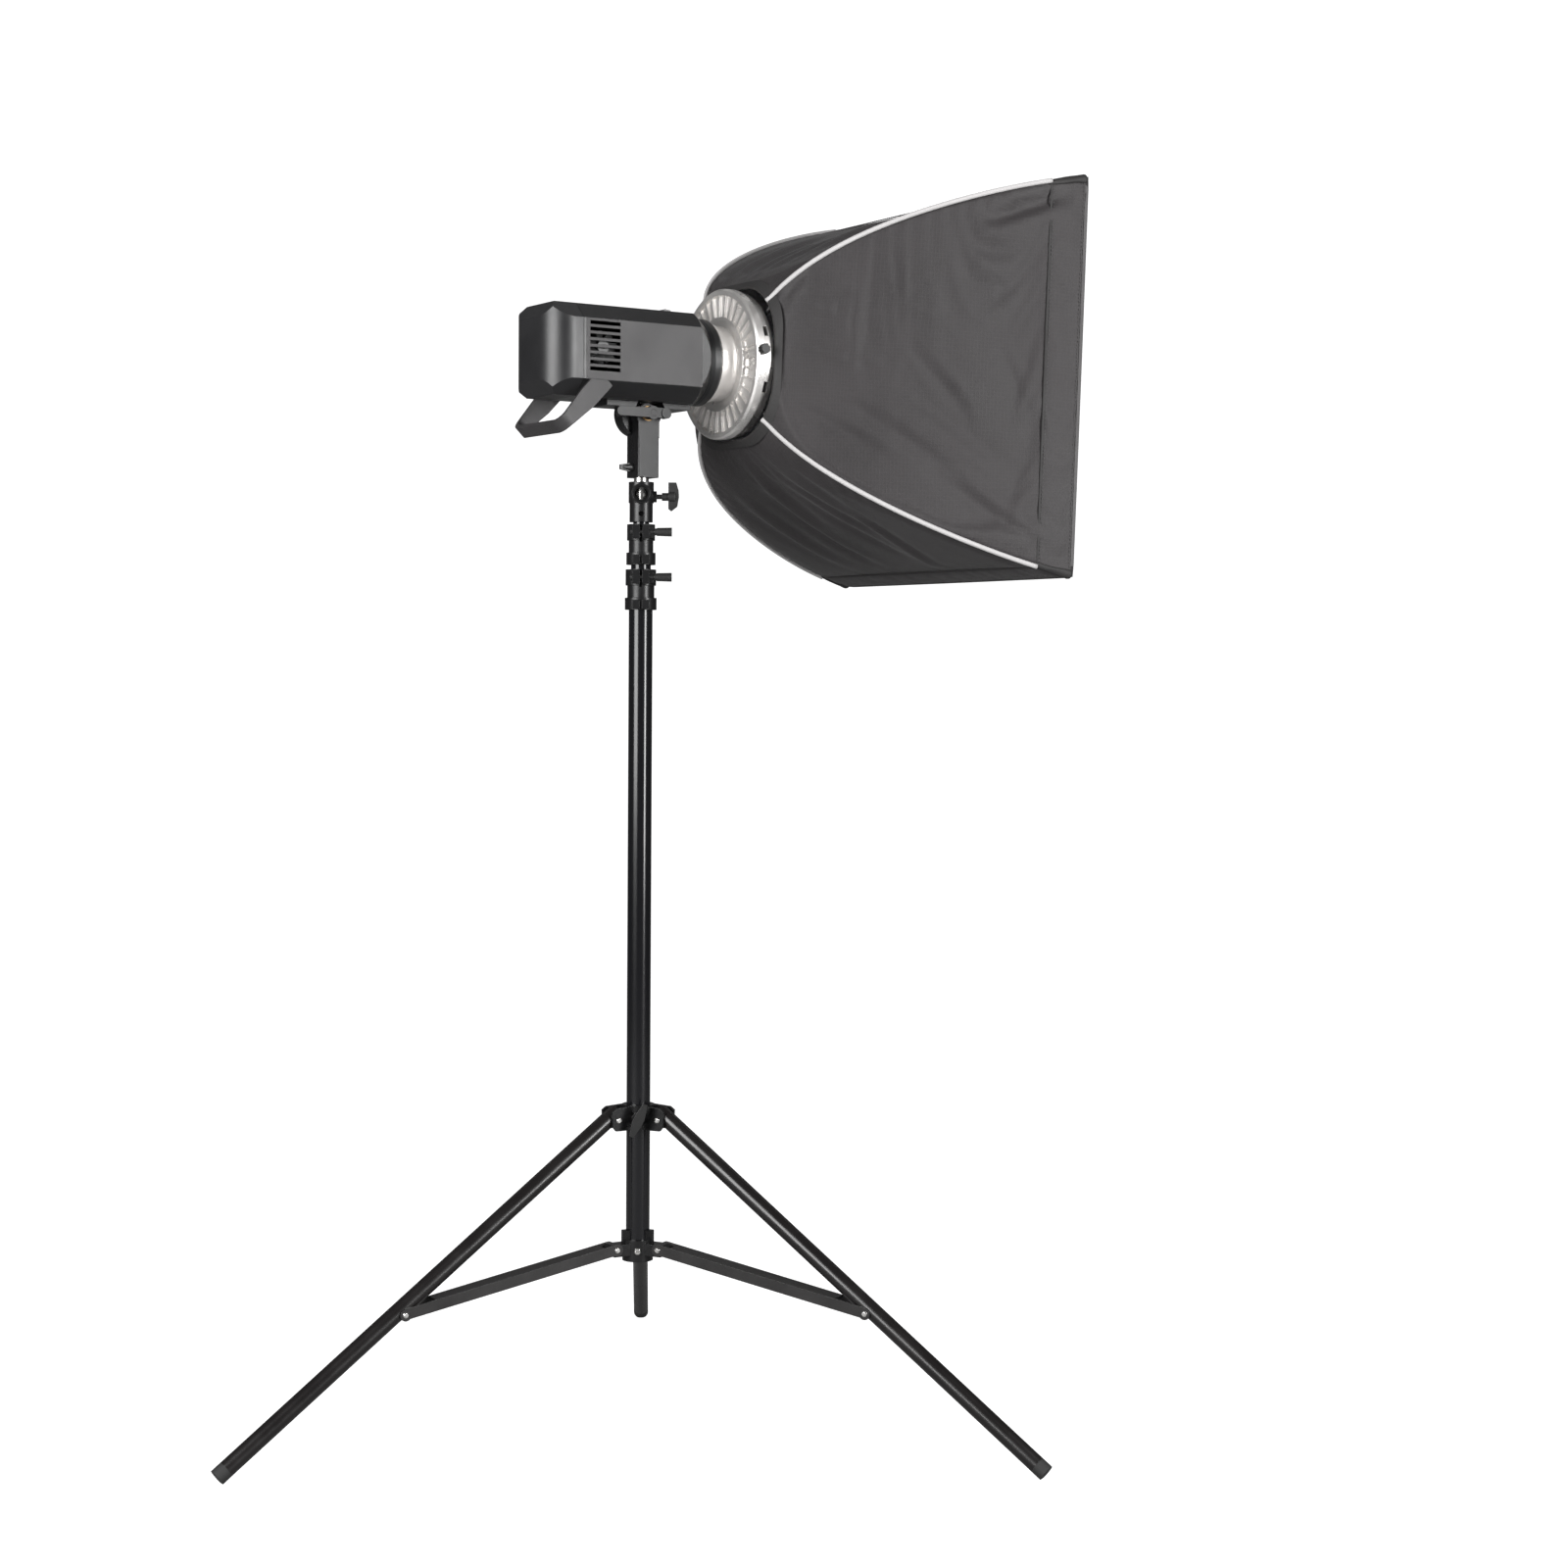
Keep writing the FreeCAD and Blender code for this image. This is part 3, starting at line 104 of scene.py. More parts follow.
def spread(tree, factor, low, high):
    node = tree.nodes.new("ShaderNodeMapRange")
    node.inputs["From Min"].default_value = 0.3
    node.inputs["From Max"].default_value = 0.7
    node.inputs["To Min"].default_value = low
    node.inputs["To Max"].default_value = high
    tree.links.new(factor, node.inputs["Value"])
    return node.outputs["Result"]


def tint(tree, base, factor):
    """base multiplied by a grey factor."""
    node = tree.nodes.new("ShaderNodeMix")
    node.data_type = "RGBA"
    node.blend_type = "MULTIPLY"
    node.inputs["Factor"].default_value = 1.0
    node.inputs["A"].default_value = (*base, 1)
    grey = tree.nodes.new("ShaderNodeCombineColor")
    for channel in ("Red", "Green", "Blue"):
        tree.links.new(factor, grey.inputs[channel])
    tree.links.new(grey.outputs["Color"], node.inputs["B"])
    return node.outputs["Result"]


def finish_normal(tree, shader, height, strength, distance, bevel):
    """Bump from a height, over edges that a rounded-edge normal softens."""
    node = tree.nodes.new("ShaderNodeBump")
    node.inputs["Strength"].default_value = strength
    node.inputs["Distance"].default_value = distance
    tree.links.new(height, node.inputs["Height"])
    if bevel:
        edge = tree.nodes.new("ShaderNodeBevel")
        edge.samples = 4
        edge.inputs["Radius"].default_value = bevel
        tree.links.new(edge.outputs["Normal"], node.inputs["Normal"])
    tree.links.new(node.outputs["Normal"], shader.inputs["Normal"])


def hard_surface(name, base, rough, metallic=0.0, vary=0.12, grain=900.0, bump=0.15, depth=0.0002,
                 bevel=0.0006, coat=0.0, specular=0.5, stretch=(1, 1, 1)):
    """Paint, plastic or metal: uneven colour and gloss, a fine grain and soft edges."""
    material, tree, shader = new_material(name)
    coords = tree.nodes.new("ShaderNodeTexCoord").outputs["Object"]
    mapping = tree.nodes.new("ShaderNodeMapping")
    mapping.inputs["Scale"].default_value = stretch
    tree.links.new(coords, mapping.inputs["Vector"])
    where = mapping.outputs["Vector"]
    broad = noise(tree, where, 18.0, 4.0)
    fine = noise(tree, where, grain, 2.0)
    tree.links.new(tint(tree, base, spread(tree, broad, 1 - vary, 1 + vary)), shader.inputs["Base Color"])
    tree.links.new(spread(tree, broad, max(rough - 0.06, 0.02), rough + 0.06), shader.inputs["Roughness"])
    shader.inputs["Metallic"].default_value = metallic
    shader.inputs["Coat Weight"].default_value = coat
    shader.inputs["Coat Roughness"].default_value = 0.08
    shader.inputs["Specular IOR Level"].default_value = specular
    finish_normal(tree, shader, fine, bump, depth, bevel)
    return material


def ripstop(name, base, rough, sheen=0.15):
    """Coated ripstop: a fine weave with a thicker thread every 5 mm, in both directions."""
    material, tree, shader = new_material(name)
    uv = tree.nodes.new("ShaderNodeUVMap")
    uv.uv_map = "metres"
    split = tree.nodes.new("ShaderNodeSeparateXYZ")
    tree.links.new(uv.outputs["UV"], split.inputs["Vector"])
    threads = []
    weave = []
    for axis in ("X", "Y"):
        position = split.outputs[axis]
        cell = math_node(tree, "FRACT", math_node(tree, "MULTIPLY", position, 200.0))
        edge = math_node(tree, "ABSOLUTE", math_node(tree, "SUBTRACT", cell, 0.5))
        threads.append(math_node(tree, "SMOOTH_MIN", math_node(tree, "MULTIPLY", edge, 7.0), 1.0, 0.2))
        weave.append(math_node(tree, "SINE", math_node(tree, "MULTIPLY", position, 9000.0)))
    ridge = math_node(tree, "MULTIPLY", threads[0], threads[1])
    fine = math_node(tree, "MULTIPLY", math_node(tree, "MULTIPLY", weave[0], weave[1]), 0.15)
    coords = tree.nodes.new("ShaderNodeTexCoord").outputs["Object"]
    broad = noise(tree, coords, 9.0, 5.0)
    crease = noise(tree, coords, 60.0, 4.0)
    shade = math_node(tree, "ADD", spread(tree, broad, 0.86, 1.12), math_node(tree, "MULTIPLY", ridge, -0.12))
    tree.links.new(tint(tree, base, shade), shader.inputs["Base Color"])
    tree.links.new(spread(tree, broad, rough - 0.07, rough + 0.07), shader.inputs["Roughness"])
    shader.inputs["Sheen Weight"].default_value = sheen
    shader.inputs["Sheen Roughness"].default_value = 0.4
    shader.inputs["Specular IOR Level"].default_value = 0.22
    height = math_node(tree, "ADD", math_node(tree, "MULTIPLY", ridge, -0.4), fine)
    height = math_node(tree, "ADD", height, math_node(tree, "MULTIPLY", crease, 3.0))
    finish_normal(tree, shader, height, 0.35, 0.0006, 0)
    return material


def silver_lining():
    material, tree, shader = new_material("silver_lining")
    coords = tree.nodes.new("ShaderNodeTexCoord").outputs["Object"]
    pebble = noise(tree, coords, 260.0, 2.0)
    shade = spread(tree, pebble, 0.85, 1.1)
    tree.links.new(tint(tree, (0.66, 0.67, 0.69), shade), shader.inputs["Base Color"])
    shader.inputs["Metallic"].default_value = 0.8
    shader.inputs["Roughness"].default_value = 0.38
    finish_normal(tree, shader, pebble, 0.6, 0.0012, 0)
    return material


def white_cloth(name, base, through=0.25):
    """Woven white nylon that lets some light through."""
    material, tree, shader = new_material(name)
    uv = tree.nodes.new("ShaderNodeUVMap")
    uv.uv_map = "metres"
    split = tree.nodes.new("ShaderNodeSeparateXYZ")
    tree.links.new(uv.outputs["UV"], split.inputs["Vector"])
    warp = math_node(tree, "SINE", math_node(tree, "MULTIPLY", split.outputs["X"], 4200.0))
    weft = math_node(tree, "SINE", math_node(tree, "MULTIPLY", split.outputs["Y"], 4200.0))
    coords = tree.nodes.new("ShaderNodeTexCoord").outputs["Object"]
    broad = noise(tree, coords, 7.0, 4.0)
    tree.links.new(tint(tree, base, spread(tree, broad, 0.95, 1.03)), shader.inputs["Base Color"])
    tree.links.new(spread(tree, broad, 0.6, 0.75), shader.inputs["Roughness"])
    shader.inputs["Sheen Weight"].default_value = 0.2
    shader.inputs["Transmission Weight"].default_value = through
    finish_normal(tree, shader, math_node(tree, "MULTIPLY", warp, weft), 0.25, 0.0003, 0)
    return material


def glass(name, base, rough, ior=1.46):
    material, tree, shader = new_material(name)
    coords = tree.nodes.new("ShaderNodeTexCoord").outputs["Object"]
    cloud = noise(tree, coords, 40.0, 2.0)
    tree.links.new(tint(tree, base, spread(tree, cloud, 0.95, 1.03)), shader.inputs["Base Color"])
    tree.links.new(spread(tree, cloud, rough, rough + 0.05), shader.inputs["Roughness"])
    shader.inputs["Transmission Weight"].default_value = 0.9
    shader.inputs["IOR"].default_value = ior
    return material


MATERIALS = {
    "stand_black": hard_surface("stand_black", (0.005, 0.005, 0.006), 0.16, vary=0.1, bump=0.02, specular=0.4,
                                stretch=(1, 1, 0.05)),
    "leg_black": hard_surface("leg_black", (0.007, 0.006, 0.006), 0.26, vary=0.12, bump=0.03, specular=0.45),
    "brace_black": hard_surface("brace_black", (0.010, 0.009, 0.009), 0.36, vary=0.15, bump=0.08),
    "cast_black": hard_surface("cast_black", (0.0075, 0.0075, 0.0078), 0.3, vary=0.12, grain=1400, bump=0.3,
                               depth=0.0002, bevel=0.0009, specular=0.3),
    "bright_steel": hard_surface("bright_steel", (0.78, 0.77, 0.75), 0.22, 1.0, vary=0.08, bump=0.05),
    "knob_black": hard_surface("knob_black", (0.012, 0.012, 0.012), 0.4, vary=0.1, grain=1600, bump=0.25,
                               bevel=0.001),
    "foot_rubber": hard_surface("foot_rubber", (0.012, 0.012, 0.012), 0.7, vary=0.2, grain=700, bump=0.3),
    "brass": hard_surface("brass", (0.4, 0.24, 0.1), 0.4, 1.0, vary=0.1, bump=0.05),
    "body_black": hard_surface("body_black", (0.0055, 0.0055, 0.006), 0.33, vary=0.1, grain=2200, bump=0.35,
                               depth=0.0002, bevel=0.0012),
    "panel_grey": hard_surface("panel_grey", (0.028, 0.0265, 0.0275), 0.45, vary=0.08, grain=1500, bump=0.8,
                               depth=0.0004, bevel=0.0008),
    "window_glass": hard_surface("window_glass", (0.012, 0.016, 0.02), 0.08, vary=0.1, bump=0.01, coat=1.0),
    "button_grey": hard_surface("button_grey", (0.16, 0.16, 0.16), 0.5, vary=0.08, grain=1800, bump=0.2),
    "battery_black": hard_surface("battery_black", (0.012, 0.012, 0.013), 0.4, vary=0.1, grain=1800,
                                  bump=0.4),
    "cast_silver": hard_surface("cast_silver", (0.8, 0.78, 0.76), 0.3, 0.85, vary=0.12, grain=900, bump=0.25,
                                depth=0.0003, bevel=0.0007),
    "dome_glass": glass("dome_glass", (0.9, 0.9, 0.88), 0.45),
    "tube_glass": glass("tube_glass", (0.95, 0.95, 0.93), 0.05),
    "board_green": hard_surface("board_green", (0.02, 0.1, 0.045), 0.4, vary=0.25, grain=500, bump=0.3),
    "fan_black": hard_surface("fan_black", (0.03, 0.03, 0.03), 0.4, vary=0.1, bump=0.1),
    "canopy_fabric": ripstop("canopy_fabric", (0.034, 0.031, 0.032), 0.5, 0.05),
    "rod_steel": hard_surface("rod_steel", (0.09, 0.09, 0.09), 0.35, 0.6, vary=0.1),
    "socket_black": hard_surface("socket_black", (0.035, 0.035, 0.035), 0.5, vary=0.12, grain=1500, bump=0.3),
    "diffuser_fabric": white_cloth("diffuser_fabric", (0.86, 0.86, 0.85)),
}
SKIRT_CLOTH = ripstop("skirt_fabric", (0.036, 0.033, 0.034), 0.5, 0.05)
PIPING = white_cloth("piping_cloth", (0.42, 0.41, 0.41), through=0.0)
LINING = silver_lining()
THREAD = hard_surface("thread_black", (0.05, 0.048, 0.048), 0.7, vary=0.2, grain=3000, bump=0.4, bevel=0)
SEAM = hard_surface("seam_cloth", (0.03, 0.027, 0.028), 0.55, vary=0.12, grain=1500, bump=0.6, bevel=0)
TAPE = hard_surface("binding_tape", (0.014, 0.013, 0.013), 0.7, vary=0.15, grain=1500, bump=0.8, bevel=0)

for entry in RECORD["subparts"]:
    cad = NODES[entry["node"]]
    cad.data.materials.clear()
    cad.data.materials.append(MATERIALS[entry["material_slot"]])


# ---- softbox: helpers -----------------------------------------------------------------
def rib_table():
    """The rod line through its five points, as distance along and distance out."""
    points = np.array(RIB_PROFILE)
    steps = np.r_[0, np.cumsum(np.linalg.norm(np.diff(points, axis=0), axis=1))]
    t = np.linspace(0, steps[-1], 600)
    curve = [np.polyval(np.polyfit(steps, points[:, k], 4), t) for k in (0, 1)]
    return curve


RIB_A, RIB_R = rib_table()


def rib(a):
    return float(np.interp(a, RIB_A, RIB_R))


def corner_radius(a):
    return float(np.interp(a, [c[0] for c in CORNERS], [c[1] for c in CORNERS]))


def place(a, y, z):
    """Softbox coordinates to the row frame."""
    return RING_CENTRE + AXIS * a + SIDE * y + UP * z


def section_point(a, panel, u):
    """Point of one panel's section; u runs from -1 at one seam to 1 at the next."""
    c = corner_radius(a)
    half = (rib(a) - c) / math.sqrt(2) + c
    flat = half - c
    length = flat + c * math.pi / 4
    s = abs(u) * length
    if s <= flat:
        across, out = s, half
    else:
        turn = (s - flat) / c
        across, out = flat + c * math.sin(turn), half - c * (1 - math.cos(turn))
    across = math.copysign(across, u)
    angle = -math.pi / 2 * panel
    return (across * math.cos(angle) - out * math.sin(angle),
            across * math.sin(angle) + out * math.cos(angle), length)


def mesh_object(name, verts, faces, materials):
    mesh = bpy.data.meshes.new(name)
    mesh.from_pydata([tuple(v) for v in verts], [], faces)
    for material in materials:
        mesh.materials.append(material)
    mesh.polygons.foreach_set("use_smooth", [True] * len(mesh.polygons))
    mesh.update()
    obj = bpy.data.objects.new(name, mesh)
    bpy.context.scene.collection.objects.link(obj)
    return obj


def baked(obj):
    """Applies the object's modifiers."""
    bpy.context.view_layer.update()
    graph = bpy.context.evaluated_depsgraph_get()
    mesh = bpy.data.meshes.new_from_object(obj.evaluated_get(graph))
    obj.modifiers.clear()
    obj.data = mesh
    return obj


def tube(name, path, radius, material, sides=12):
    """Round tube along a list of points, capped at both ends."""
    path = [Vector(p) for p in path]
    count = len(path)
    verts, faces = [], []
    reference = None
    for i, point in enumerate(path):
        ahead = (path[min(i + 1, count - 1)] - path[max(i - 1, 0)]).normalized()
        if reference is None:
            reference = ahead.orthogonal()
        reference = (reference - ahead * reference.dot(ahead)).normalized()
        other = ahead.cross(reference)
        for k in range(sides):
            angle = 2 * math.pi * k / sides
            verts.append(point + (reference * math.cos(angle) + other * math.sin(angle)) * radius)
    for i in range(count - 1):
        n = i + 1
        for k in range(sides):
            m = (k + 1) % sides
            faces.append((i * sides + k, i * sides + m, n * sides + m, n * sides + k))
    faces.append(tuple(reversed(range(sides))))
    faces.append(tuple(range((count - 1) * sides, count * sides)))
    return mesh_object(name, verts, faces, [material])


# ---- softbox: fabric cover ------------------------------------------------------------
ALONG, ACROSS = 88, 64                  # cells along the softbox, and across one panel
TOP, FAR, BOTTOM, NEAR = range(4)       # the panels, in section_point's order
# creases of the panel nearest the camera: start t and u, end t and u, depth, width
NEAR_CREASES = ((0.60, 0.86, 0.97, 0.95, -0.0052, 0.0100), (0.56, 0.80, 0.95, 0.84, 0.0026, 0.0110),
                (0.05, 0.66, 0.40, 0.02, -0.0028, 0.0110), (0.20, 0.62, 0.62, 0.16, 0.0020, 0.0130),
                (0.36, 0.18, 0.62, -0.30, -0.0026, 0.0120), (0.14, -0.28, 0.66, -0.74, -0.0026, 0.0110),
                (0.30, -0.22, 0.84, -0.72, 0.0024, 0.0150), (0.44, -0.66, 0.86, -0.90, -0.0030, 0.0100),
                (0.58, -0.62, 0.95, -0.86, 0.0024, 0.0120), (0.46, 0.60, 0.80, 0.44, -0.0024, 0.0120),
                (0.54, 0.74, 0.78, 0.66, -0.0026, 0.0090), (0.04, 0.20, 0.34, -0.12, -0.0018, 0.0090),
                (0.03, -0.50, 0.36, -0.66, -0.0022, 0.0090), (0.70, 0.10, 0.90, -0.36, -0.0018, 0.0140))


def fan_of_creases(count):
    """Creases that spread from the ring over a panel, as a pulled cloth gets."""
    fan = []
    for i in range(count):
        u = -0.85 + 1.7 * (i + rng.uniform(0.2, 0.8)) / count
        start = rng.uniform(0.01, 0.2)
        end = min(start + rng.uniform(0.35, 0.75), 0.96)
        depth = rng.choice((-1, -1, 1)) * rng.uniform(0.0018, 0.0034)
        fan.append((start, u, end, u * rng.uniform(0.5, 1.05) + rng.uniform(-0.12, 0.12), depth,
                    rng.uniform(0.008, 0.014)))
    return fan


CREASE_GAIN = 1.4
CREASES = {TOP: fan_of_creases(8), FAR: fan_of_creases(9), BOTTOM: fan_of_creases(9), NEAR: NEAR_CREASES}
PHASES = [rng.uniform(0, 6.28) for _ in range(4)]


def ripple(a, panel, u, length):
    """How far the fabric stands out from its taut shape, in metres."""
    t = a / DEPTH
    inside = 1 - u * u
    body = math.sin(math.pi * min(t * 1.05, 1.0)) * inside
    lift = -0.005 * body
    for t0, u0, t1, u1, depth, width in CREASES[panel]:
        s = (t - t0) / (t1 - t0)
        if 0 < s < 1:
            off = (u - u0 - (u1 - u0) * s) * length / width
            fold = math.exp(-off * off) - 0.5 * math.exp(-(off - 1.7) ** 2)
            lift += depth * math.sin(math.pi * s) ** 0.8 * CREASE_GAIN * fold
    lift += math.sin(2 * math.pi * (2.1 * t + 0.9 * u) + PHASES[panel]) * 0.0010 * body
    lift += math.sin(a * 300 + PHASES[panel]) * math.exp(-(1 - abs(u)) * 20) * 0.0006 * min(t * 6, 1)
    return lift


def build_cover():
    verts, uvs, faces, slots = [], [], [], []
    ring_count = 4 * ACROSS
    v_run = 0.0
    previous = None
    stations = [DEPTH * (i / ALONG) ** 1.15 for i in range(ALONG + 1)]
    skirt_row = min(range(len(stations)), key=lambda i: abs(stations[i] - (DEPTH - SKIRT)))
    stations[skirt_row] = DEPTH - SKIRT
    for i, a in enumerate(stations):
        here = (a, rib(a))
        if previous:
            v_run += math.hypot(here[0] - previous[0], here[1] - previous[1])
        previous = here
        for panel in range(4):
            for k in range(ACROSS):
                u = -1 + 2 * k / ACROSS
                y, z, length = section_point(a, panel, u)
                out = Vector((0, y, z)).normalized()
                lift = ripple(a, panel, u, length) + (0.0005 if i > skirt_row else 0.0)
                p = place(a, y, z) + (SIDE * out.y + UP * out.z) * lift
                verts.append(p)
                uvs.append((u * length + panel, v_run))
    for i in range(ALONG):
        for k in range(ring_count):
            n = (k + 1) % ring_count
            row, up = i * ring_count, (i + 1) * ring_count
            faces.append((row + k, up + k, up + n, row + n))
            slots.append(1 if i >= skirt_row else 0)
    cover = mesh_object("fabric_cover", verts, faces, [MATERIALS["canopy_fabric"], SKIRT_CLOTH, LINING, TAPE])
    layer = cover.data.uv_layers.new(name="metres")
    for poly, slot in zip(cover.data.polygons, slots):
        poly.material_index = slot
        seam = (poly.index + 1) % ACROSS == 0
        for corner, loop in enumerate(poly.loop_indices):
            u, v = uvs[cover.data.loops[loop].vertex_index]
            if seam and corner >= 2:
                u = 2 * uvs[poly.vertices[0]][0] - uvs[poly.vertices[0] - 1][0]
            layer.data[loop].uv = (u, v)
    return cover, stations, skirt_row


cover, stations, skirt_row = build_cover()
ring_count = 4 * ACROSS


def simulate_cover(limit=0.0035, frames=16):
    """Lets the fabric settle between its seams under its weight, a little slack."""
    group = cover.vertex_groups.new(name="held")
    held, soft = [], []
    for i in range(ALONG + 1):
        for k in range(ring_count):
            index = i * ring_count + k
            edge = k % ACROSS == 0 or i == 0 or i == ALONG or i == skirt_row
            (held if edge else soft).append(index)
    group.add(held, 1.0, "REPLACE")
    group.add(soft, 0.02, "REPLACE")
    before = np.array([v.co for v in cover.data.vertices])
    cloth = cover.modifiers.new("settle", "CLOTH")
    settings = cloth.settings
    settings.quality = 6
    settings.mass = 0.05
    settings.tension_stiffness = settings.compression_stiffness = 12
    settings.shear_stiffness = 6
    settings.bending_stiffness = 0.15
    settings.shrink_min = -0.004
    settings.vertex_group_mass = "held"
    settings.pin_stiffness = 1.0
    cloth.collision_settings.use_self_collision = False
    cloth.collision_settings.use_collision = False
    scene = bpy.context.scene
    for number in range(1, frames + 1):
        scene.frame_set(number)
    graph = bpy.context.evaluated_depsgraph_get()
    settled = cover.evaluated_get(graph).data
    after = np.array([v.co for v in settled.vertices])
    cover.modifiers.clear()
    cover.vertex_groups.clear()
    move = after - before
    size = np.linalg.norm(move, axis=1, keepdims=True)
    move *= np.minimum(1.0, limit / np.maximum(size, 1e-9))
    for vertex, point in zip(cover.data.vertices, before + move):
        vertex.co = point
    cover.data.update()
    scene.frame_set(1)


simulate_cover()

middle = cover.data.polygons[ALONG // 2 * ring_count + ACROSS // 2]
if middle.normal.dot(middle.center - RING_CENTRE) < 0:
    cover.data.flip_normals()
thick = cover.modifiers.new("thickness", "SOLIDIFY")
thick.thickness = 0.0009
thick.offset = -1.0
thick.material_offset = 2
thick.use_even_offset = False
baked(cover)
for polygon in cover.data.polygons:
    polygon.use_smooth = True
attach(cover, "softbox")
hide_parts("canopy")


def seam_line(panel, start, end, lift, count=70):
    """The corner seam at the start of a panel."""
    points = []
    for i in range(count + 1):
        a = start + (end - start) * i / count
        y, z, _ = section_point(a, panel, -1)
        out = Vector((0, y, z)).normalized()
        points.append(place(a, y, z) + (SIDE * out.y + UP * out.z) * lift)
    return points


for panel in range(4):
    line = seam_line(panel, 0.001, DEPTH - SKIRT, 0.0014)
    inward = (line[0] - RING_CENTRE - AXIS * (line[0] - RING_CENTRE).dot(AXIS)).normalized()
    line = [line[0] - inward * 0.0055 - AXIS * 0.0035, line[0] - inward * 0.002 - AXIS * 0.0016] + line
    cord = tube(f"seam_piping_{panel + 1}", line, 0.0030, PIPING, 14)
    layer = cord.data.uv_layers.new(name="metres")
    for loop in cord.data.loops:
        co = cord.data.vertices[loop.vertex_index].co
        layer.data[loop.index].uv = (co.x, co.z + co.y)
    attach(cord, "softbox")


def loop_line(a, lift, per_side=30):
    """The outline of the cover's section at one distance along."""
    points = []
    for panel in range(4):
        for k in range(per_side):
            y, z, _ = section_point(a, panel, -1 + 2 * k / per_side)
            out = Vector((0, y, z)).normalized()
            points.append(place(a, y, z) + (SIDE * out.y + UP * out.z) * lift)
    return points


def band(name, a0, a1, lift, thickness, material):
    """Flat tape round the cover, closed all the way round."""
    rows = [loop_line(a0, lift), loop_line(a1, lift), loop_line(a1, lift - thickness),
            loop_line(a0, lift - thickness)]
    count = len(rows[0])
    verts = [p for row in rows for p in row]
    faces = []
    for r in range(4):
        for k in range(count):
            n = (k + 1) % count
            q = (r + 1) % 4
            faces.append((r * count + k, r * count + n, q * count + n, q * count + k))
    obj = mesh_object(name, verts, faces, [material])
    for polygon in obj.data.polygons:
        polygon.use_smooth = False
    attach(obj, "softbox")
    return obj


band("skirt_seam_fold", DEPTH - SKIRT - 0.0012, DEPTH - SKIRT + 0.0012, 0.0010, 0.0014, TAPE)
band("front_hem", DEPTH - 0.004, DEPTH + 0.0008, 0.0012, 0.0028, SEAM)
band("ring_binding", -0.002, 0.004, 0.0012, 0.0034, TAPE)


def stitches(name, a, spacing=0.005, lift=0.0026):
    """A row of short threads round the cover."""
    path = loop_line(a, lift, per_side=int(2 * rib(a) / math.sqrt(2) / spacing))
    verts, faces = [], []
    for i, point in enumerate(path):
        ahead = path[(i + 1) % len(path)] - point
        step = ahead * 0.62
        across = AXIS * 0.00035
        out = ahead.cross(AXIS).normalized() * 0.0003
        base = len(verts)
        for end, size in ((0.0, 0.4), (0.3, 1.0), (0.7, 1.0), (1.0, 0.4)):
            centre = point + step * end
            for s, t in ((1, 0), (0, 1), (-1, 0), (0, -1)):
                verts.append(centre + across * s * size + out * t * size)
        for r in range(3):
            for k in range(4):
                n = (k + 1) % 4
                faces.append((base + r * 4 + k, base + r * 4 + n, base + r * 4 + 4 + n, base + r * 4 + 4 + k))
        faces.append((base + 3, base + 2, base + 1, base))
        faces.append((base + 12, base + 13, base + 14, base + 15))
    obj = mesh_object(name, verts, faces, [THREAD])
    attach(obj, "softbox")


stitches("skirt_stitches", DEPTH - SKIRT + 0.0028, lift=0.0016)
stitches("hem_stitches", DEPTH - 0.0062, lift=0.0016)


# ---- softbox: corner pockets ----------------------------------------------------------
def corner_pocket(panel):
    """Black sleeve over the last of the seam, closed over the end of the rod."""
    path = seam_line(panel, DEPTH - SKIRT - 0.004, DEPTH + 0.0012, -0.0016, count=20)
    verts, faces = [], []
    sides = 14
    ahead = (path[-1] - path[0]).normalized()
    y, z, _ = section_point(DEPTH, panel, -1)
    out = Vector((0, y, z)).normalized()
    radial = SIDE * out.y + UP * out.z
    across = ahead.cross(radial).normalized()
    radial = across.cross(ahead).normalized()
    last = len(path) - 1
    for i, point in enumerate(path):
        t = i / last
        swell = 0.0040 + 0.0026 * t * t
        swell *= math.sqrt(max(1 - max(0.0, (t - 0.88) / 0.12) ** 2, 0.02)) * min(1.0, 0.55 + 4 * t)
        for k in range(sides):
            angle = 2 * math.pi * k / sides
            wave = 1 + 0.06 * math.sin(3 * angle + 9 * t)
            around = radial * math.cos(angle) * 0.85 + across * math.sin(angle) * 1.15
            verts.append(point + around * swell * wave)
    for i in range(last):
        for k in range(sides):
            m = (k + 1) % sides
            faces.append((i * sides + k, i * sides + m, (i + 1) * sides + m, (i + 1) * sides + k))
    faces.append(tuple(reversed(range(sides))))
    faces.append(tuple(range(last * sides, (last + 1) * sides)))
    obj = mesh_object(f"corner_pocket_{panel + 1}", verts, faces, [TAPE])
    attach(obj, "softbox")
    return obj


pockets = [corner_pocket(panel) for panel in range(4)]
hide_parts("corner_caps")


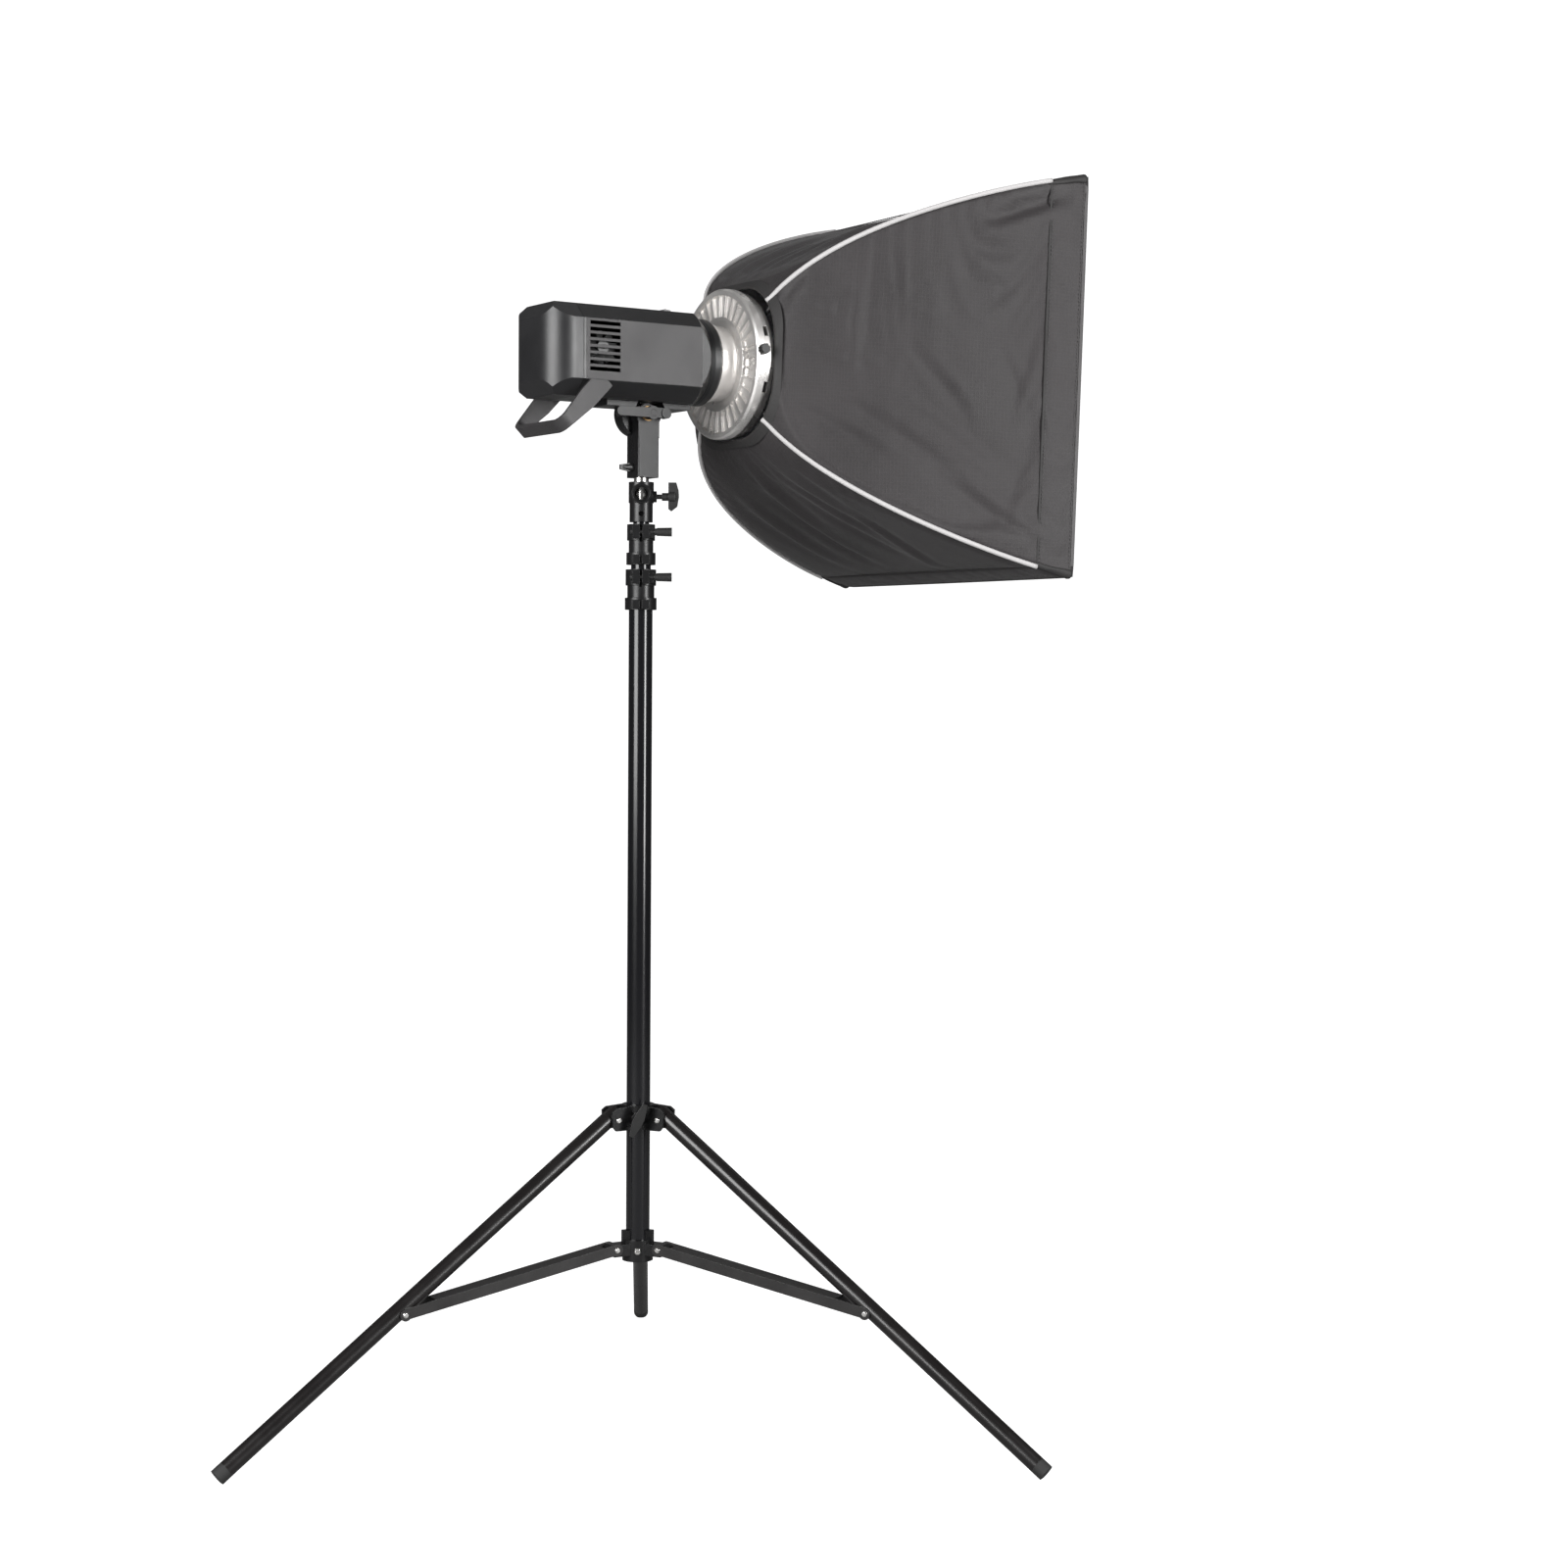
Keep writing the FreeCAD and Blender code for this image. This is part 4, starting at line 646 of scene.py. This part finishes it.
# ---- softbox: white cloths ------------------------------------------------------------
def cloth_panel(name, a, half, cut, bow, node, cells=40):
    """Square of white cloth across the softbox, slack enough to show shallow folds."""
    verts, faces, uvs = [], [], []
    for i in range(cells + 1):
        for k in range(cells + 1):
            u, v = -1 + 2 * i / cells, -1 + 2 * k / cells
            y, z = u * half, v * half
            excess = abs(u) + abs(v) - (2 - cut)
            if excess > 0:
                y -= math.copysign(excess / 2 * half, u)
                z -= math.copysign(excess / 2 * half, v)
            dome = (1 - u * u) * (1 - v * v)
            pull = math.sin(7 * (u + v)) * abs(u * v) * 0.0016 + math.sin(3.1 * u + 1.7 * v) * 0.002 * dome
            verts.append(place(a + bow * dome + pull, y, z))
            uvs.append((y, z))
    side = cells + 1
    for i in range(cells):
        for k in range(cells):
            faces.append((i * side + k, (i + 1) * side + k, (i + 1) * side + k + 1, i * side + k + 1))
    obj = mesh_object(name, verts, faces, [MATERIALS["diffuser_fabric"]])
    layer = obj.data.uv_layers.new(name="metres")
    for loop in obj.data.loops:
        layer.data[loop.index].uv = uvs[loop.vertex_index]
    solid = obj.modifiers.new("thickness", "SOLIDIFY")
    solid.thickness = 0.0007
    solid.offset = 0.0
    baked(obj)
    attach(obj, "softbox")
    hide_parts(node)
    return obj


front = cloth_panel("front_cloth", DEPTH - 0.014, 0.2475, 0.05, 0.004, "front_diffuser")
baffle = cloth_panel("inner_cloth", BAFFLE_A, 0.15, 0.04, 0.003, "inner_baffle")
for panel in range(4):
    y, z, _ = section_point(BAFFLE_A, panel, -1)
    out = Vector((0, y, z)).normalized()
    start = place(BAFFLE_A, out.y * STRAP_START, out.z * STRAP_START)
    end = place(BAFFLE_A, out.y * (rib(BAFFLE_A) - 0.006), out.z * (rib(BAFFLE_A) - 0.006))
    middle = start.lerp(end, 0.5) - UP * 0.0015
    strap = tube(f"baffle_strap_{panel + 1}", [start, middle, end], 0.0022, TAPE, 8)
    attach(strap, "softbox")

# ---- stage, light and camera ----------------------------------------------------------
VIEW_HEADING = math.radians(56.86)
PITCH, ROLL = math.radians(-2.16), math.radians(0.39)
CAMERA_FROM_POLE = Vector((-1.748, -3.010, 0.940))
SENSOR_WIDTH, FOCAL_LENGTH = 36.0, 63.3     # millimetres
LOOK = Vector((math.cos(VIEW_HEADING), math.sin(VIEW_HEADING), 0))
ASIDE = Vector((LOOK.y, -LOOK.x, 0))


def backdrop():
    """Floor that curves up into a wall behind the object."""
    near, bend, radius, top, half_width = -9.0, 5.0, 2.5, 9.0, 12.0
    profile = [(near, 0.0), (bend, 0.0)]
    for t in np.linspace(0.05, math.pi / 2, 16):
        profile.append((bend + radius * math.sin(t), radius - radius * math.cos(t)))
    profile.append((bend + radius, top))
    verts, faces = [], []
    for d, h in profile:
        for s in (-half_width, half_width):
            verts.append(LOOK * d + ASIDE * s + Vector((0, 0, h)))
    for i in range(len(profile) - 1):
        faces.append((2 * i, 2 * i + 1, 2 * i + 3, 2 * i + 2))
    material = hard_surface("backdrop_paper", (0.3, 0.3, 0.3), 0.9, vary=0.01, grain=300, bump=0.02, bevel=0)
    shader = material.node_tree.nodes["Principled BSDF"]
    shader.inputs["Emission Color"].default_value = (1, 1, 1, 1)
    seen = material.node_tree.nodes.new("ShaderNodeLightPath")
    material.node_tree.links.new(seen.outputs["Is Camera Ray"], shader.inputs["Emission Strength"])
    return mesh_object("backdrop", verts, faces, [material])


def area_light(name, position, target, size, power):
    data = bpy.data.lights.new(name, "AREA")
    data.shape = "RECTANGLE"
    data.size, data.size_y = size
    data.energy = power
    lamp = bpy.data.objects.new(name, data)
    lamp.location = position
    lamp.rotation_euler = (Vector(target) - Vector(position)).to_track_quat("-Z", "Y").to_euler()
    bpy.context.scene.collection.objects.link(lamp)
    return lamp


centre = Vector((0.03, 0, 0.9))
stage = [backdrop(),
         area_light("key", centre - LOOK * 2.6 - ASIDE * 2.2 + Vector((0, 0, 0.8)), centre, (2.2, 2.2), 190),
         area_light("fill", centre - LOOK * 2.2 + ASIDE * 2.8 + Vector((0, 0, 0.7)), centre, (0.8, 2.4), 155),
         area_light("top", centre + LOOK * 0.4 + Vector((0, 0, 2.6)), centre, (1.6, 1.6), 3),
         area_light("wall_wash", centre + LOOK * 3.2 + Vector((0, 0, 4.2)), centre + LOOK * 7, (7, 2), 60)]

world = bpy.data.worlds.new("studio")
world.use_nodes = True
world.node_tree.nodes["Background"].inputs["Color"].default_value = (1, 1, 1, 1)
world.node_tree.nodes["Background"].inputs["Strength"].default_value = 0.10
bpy.context.scene.world = world

camera_data = bpy.data.cameras.new("camera")
camera_data.sensor_width = SENSOR_WIDTH
camera_data.lens = FOCAL_LENGTH
camera = bpy.data.objects.new("camera", camera_data)
bpy.context.scene.collection.objects.link(camera)
forward = (LOOK * math.cos(PITCH) + Vector((0, 0, math.sin(PITCH)))).normalized()
right = forward.cross(Vector((0, 0, 1))).normalized()
above = right.cross(forward)
rolled_right = right * math.cos(ROLL) + above * math.sin(ROLL)
rolled_above = above * math.cos(ROLL) - right * math.sin(ROLL)
turn = Matrix((rolled_right, rolled_above, -forward)).transposed().to_4x4()
camera.matrix_world = Matrix.Translation(POLE + CAMERA_FROM_POLE) @ turn
bpy.context.scene.camera = camera
bpy.context.scene.view_settings.view_transform = "Standard"
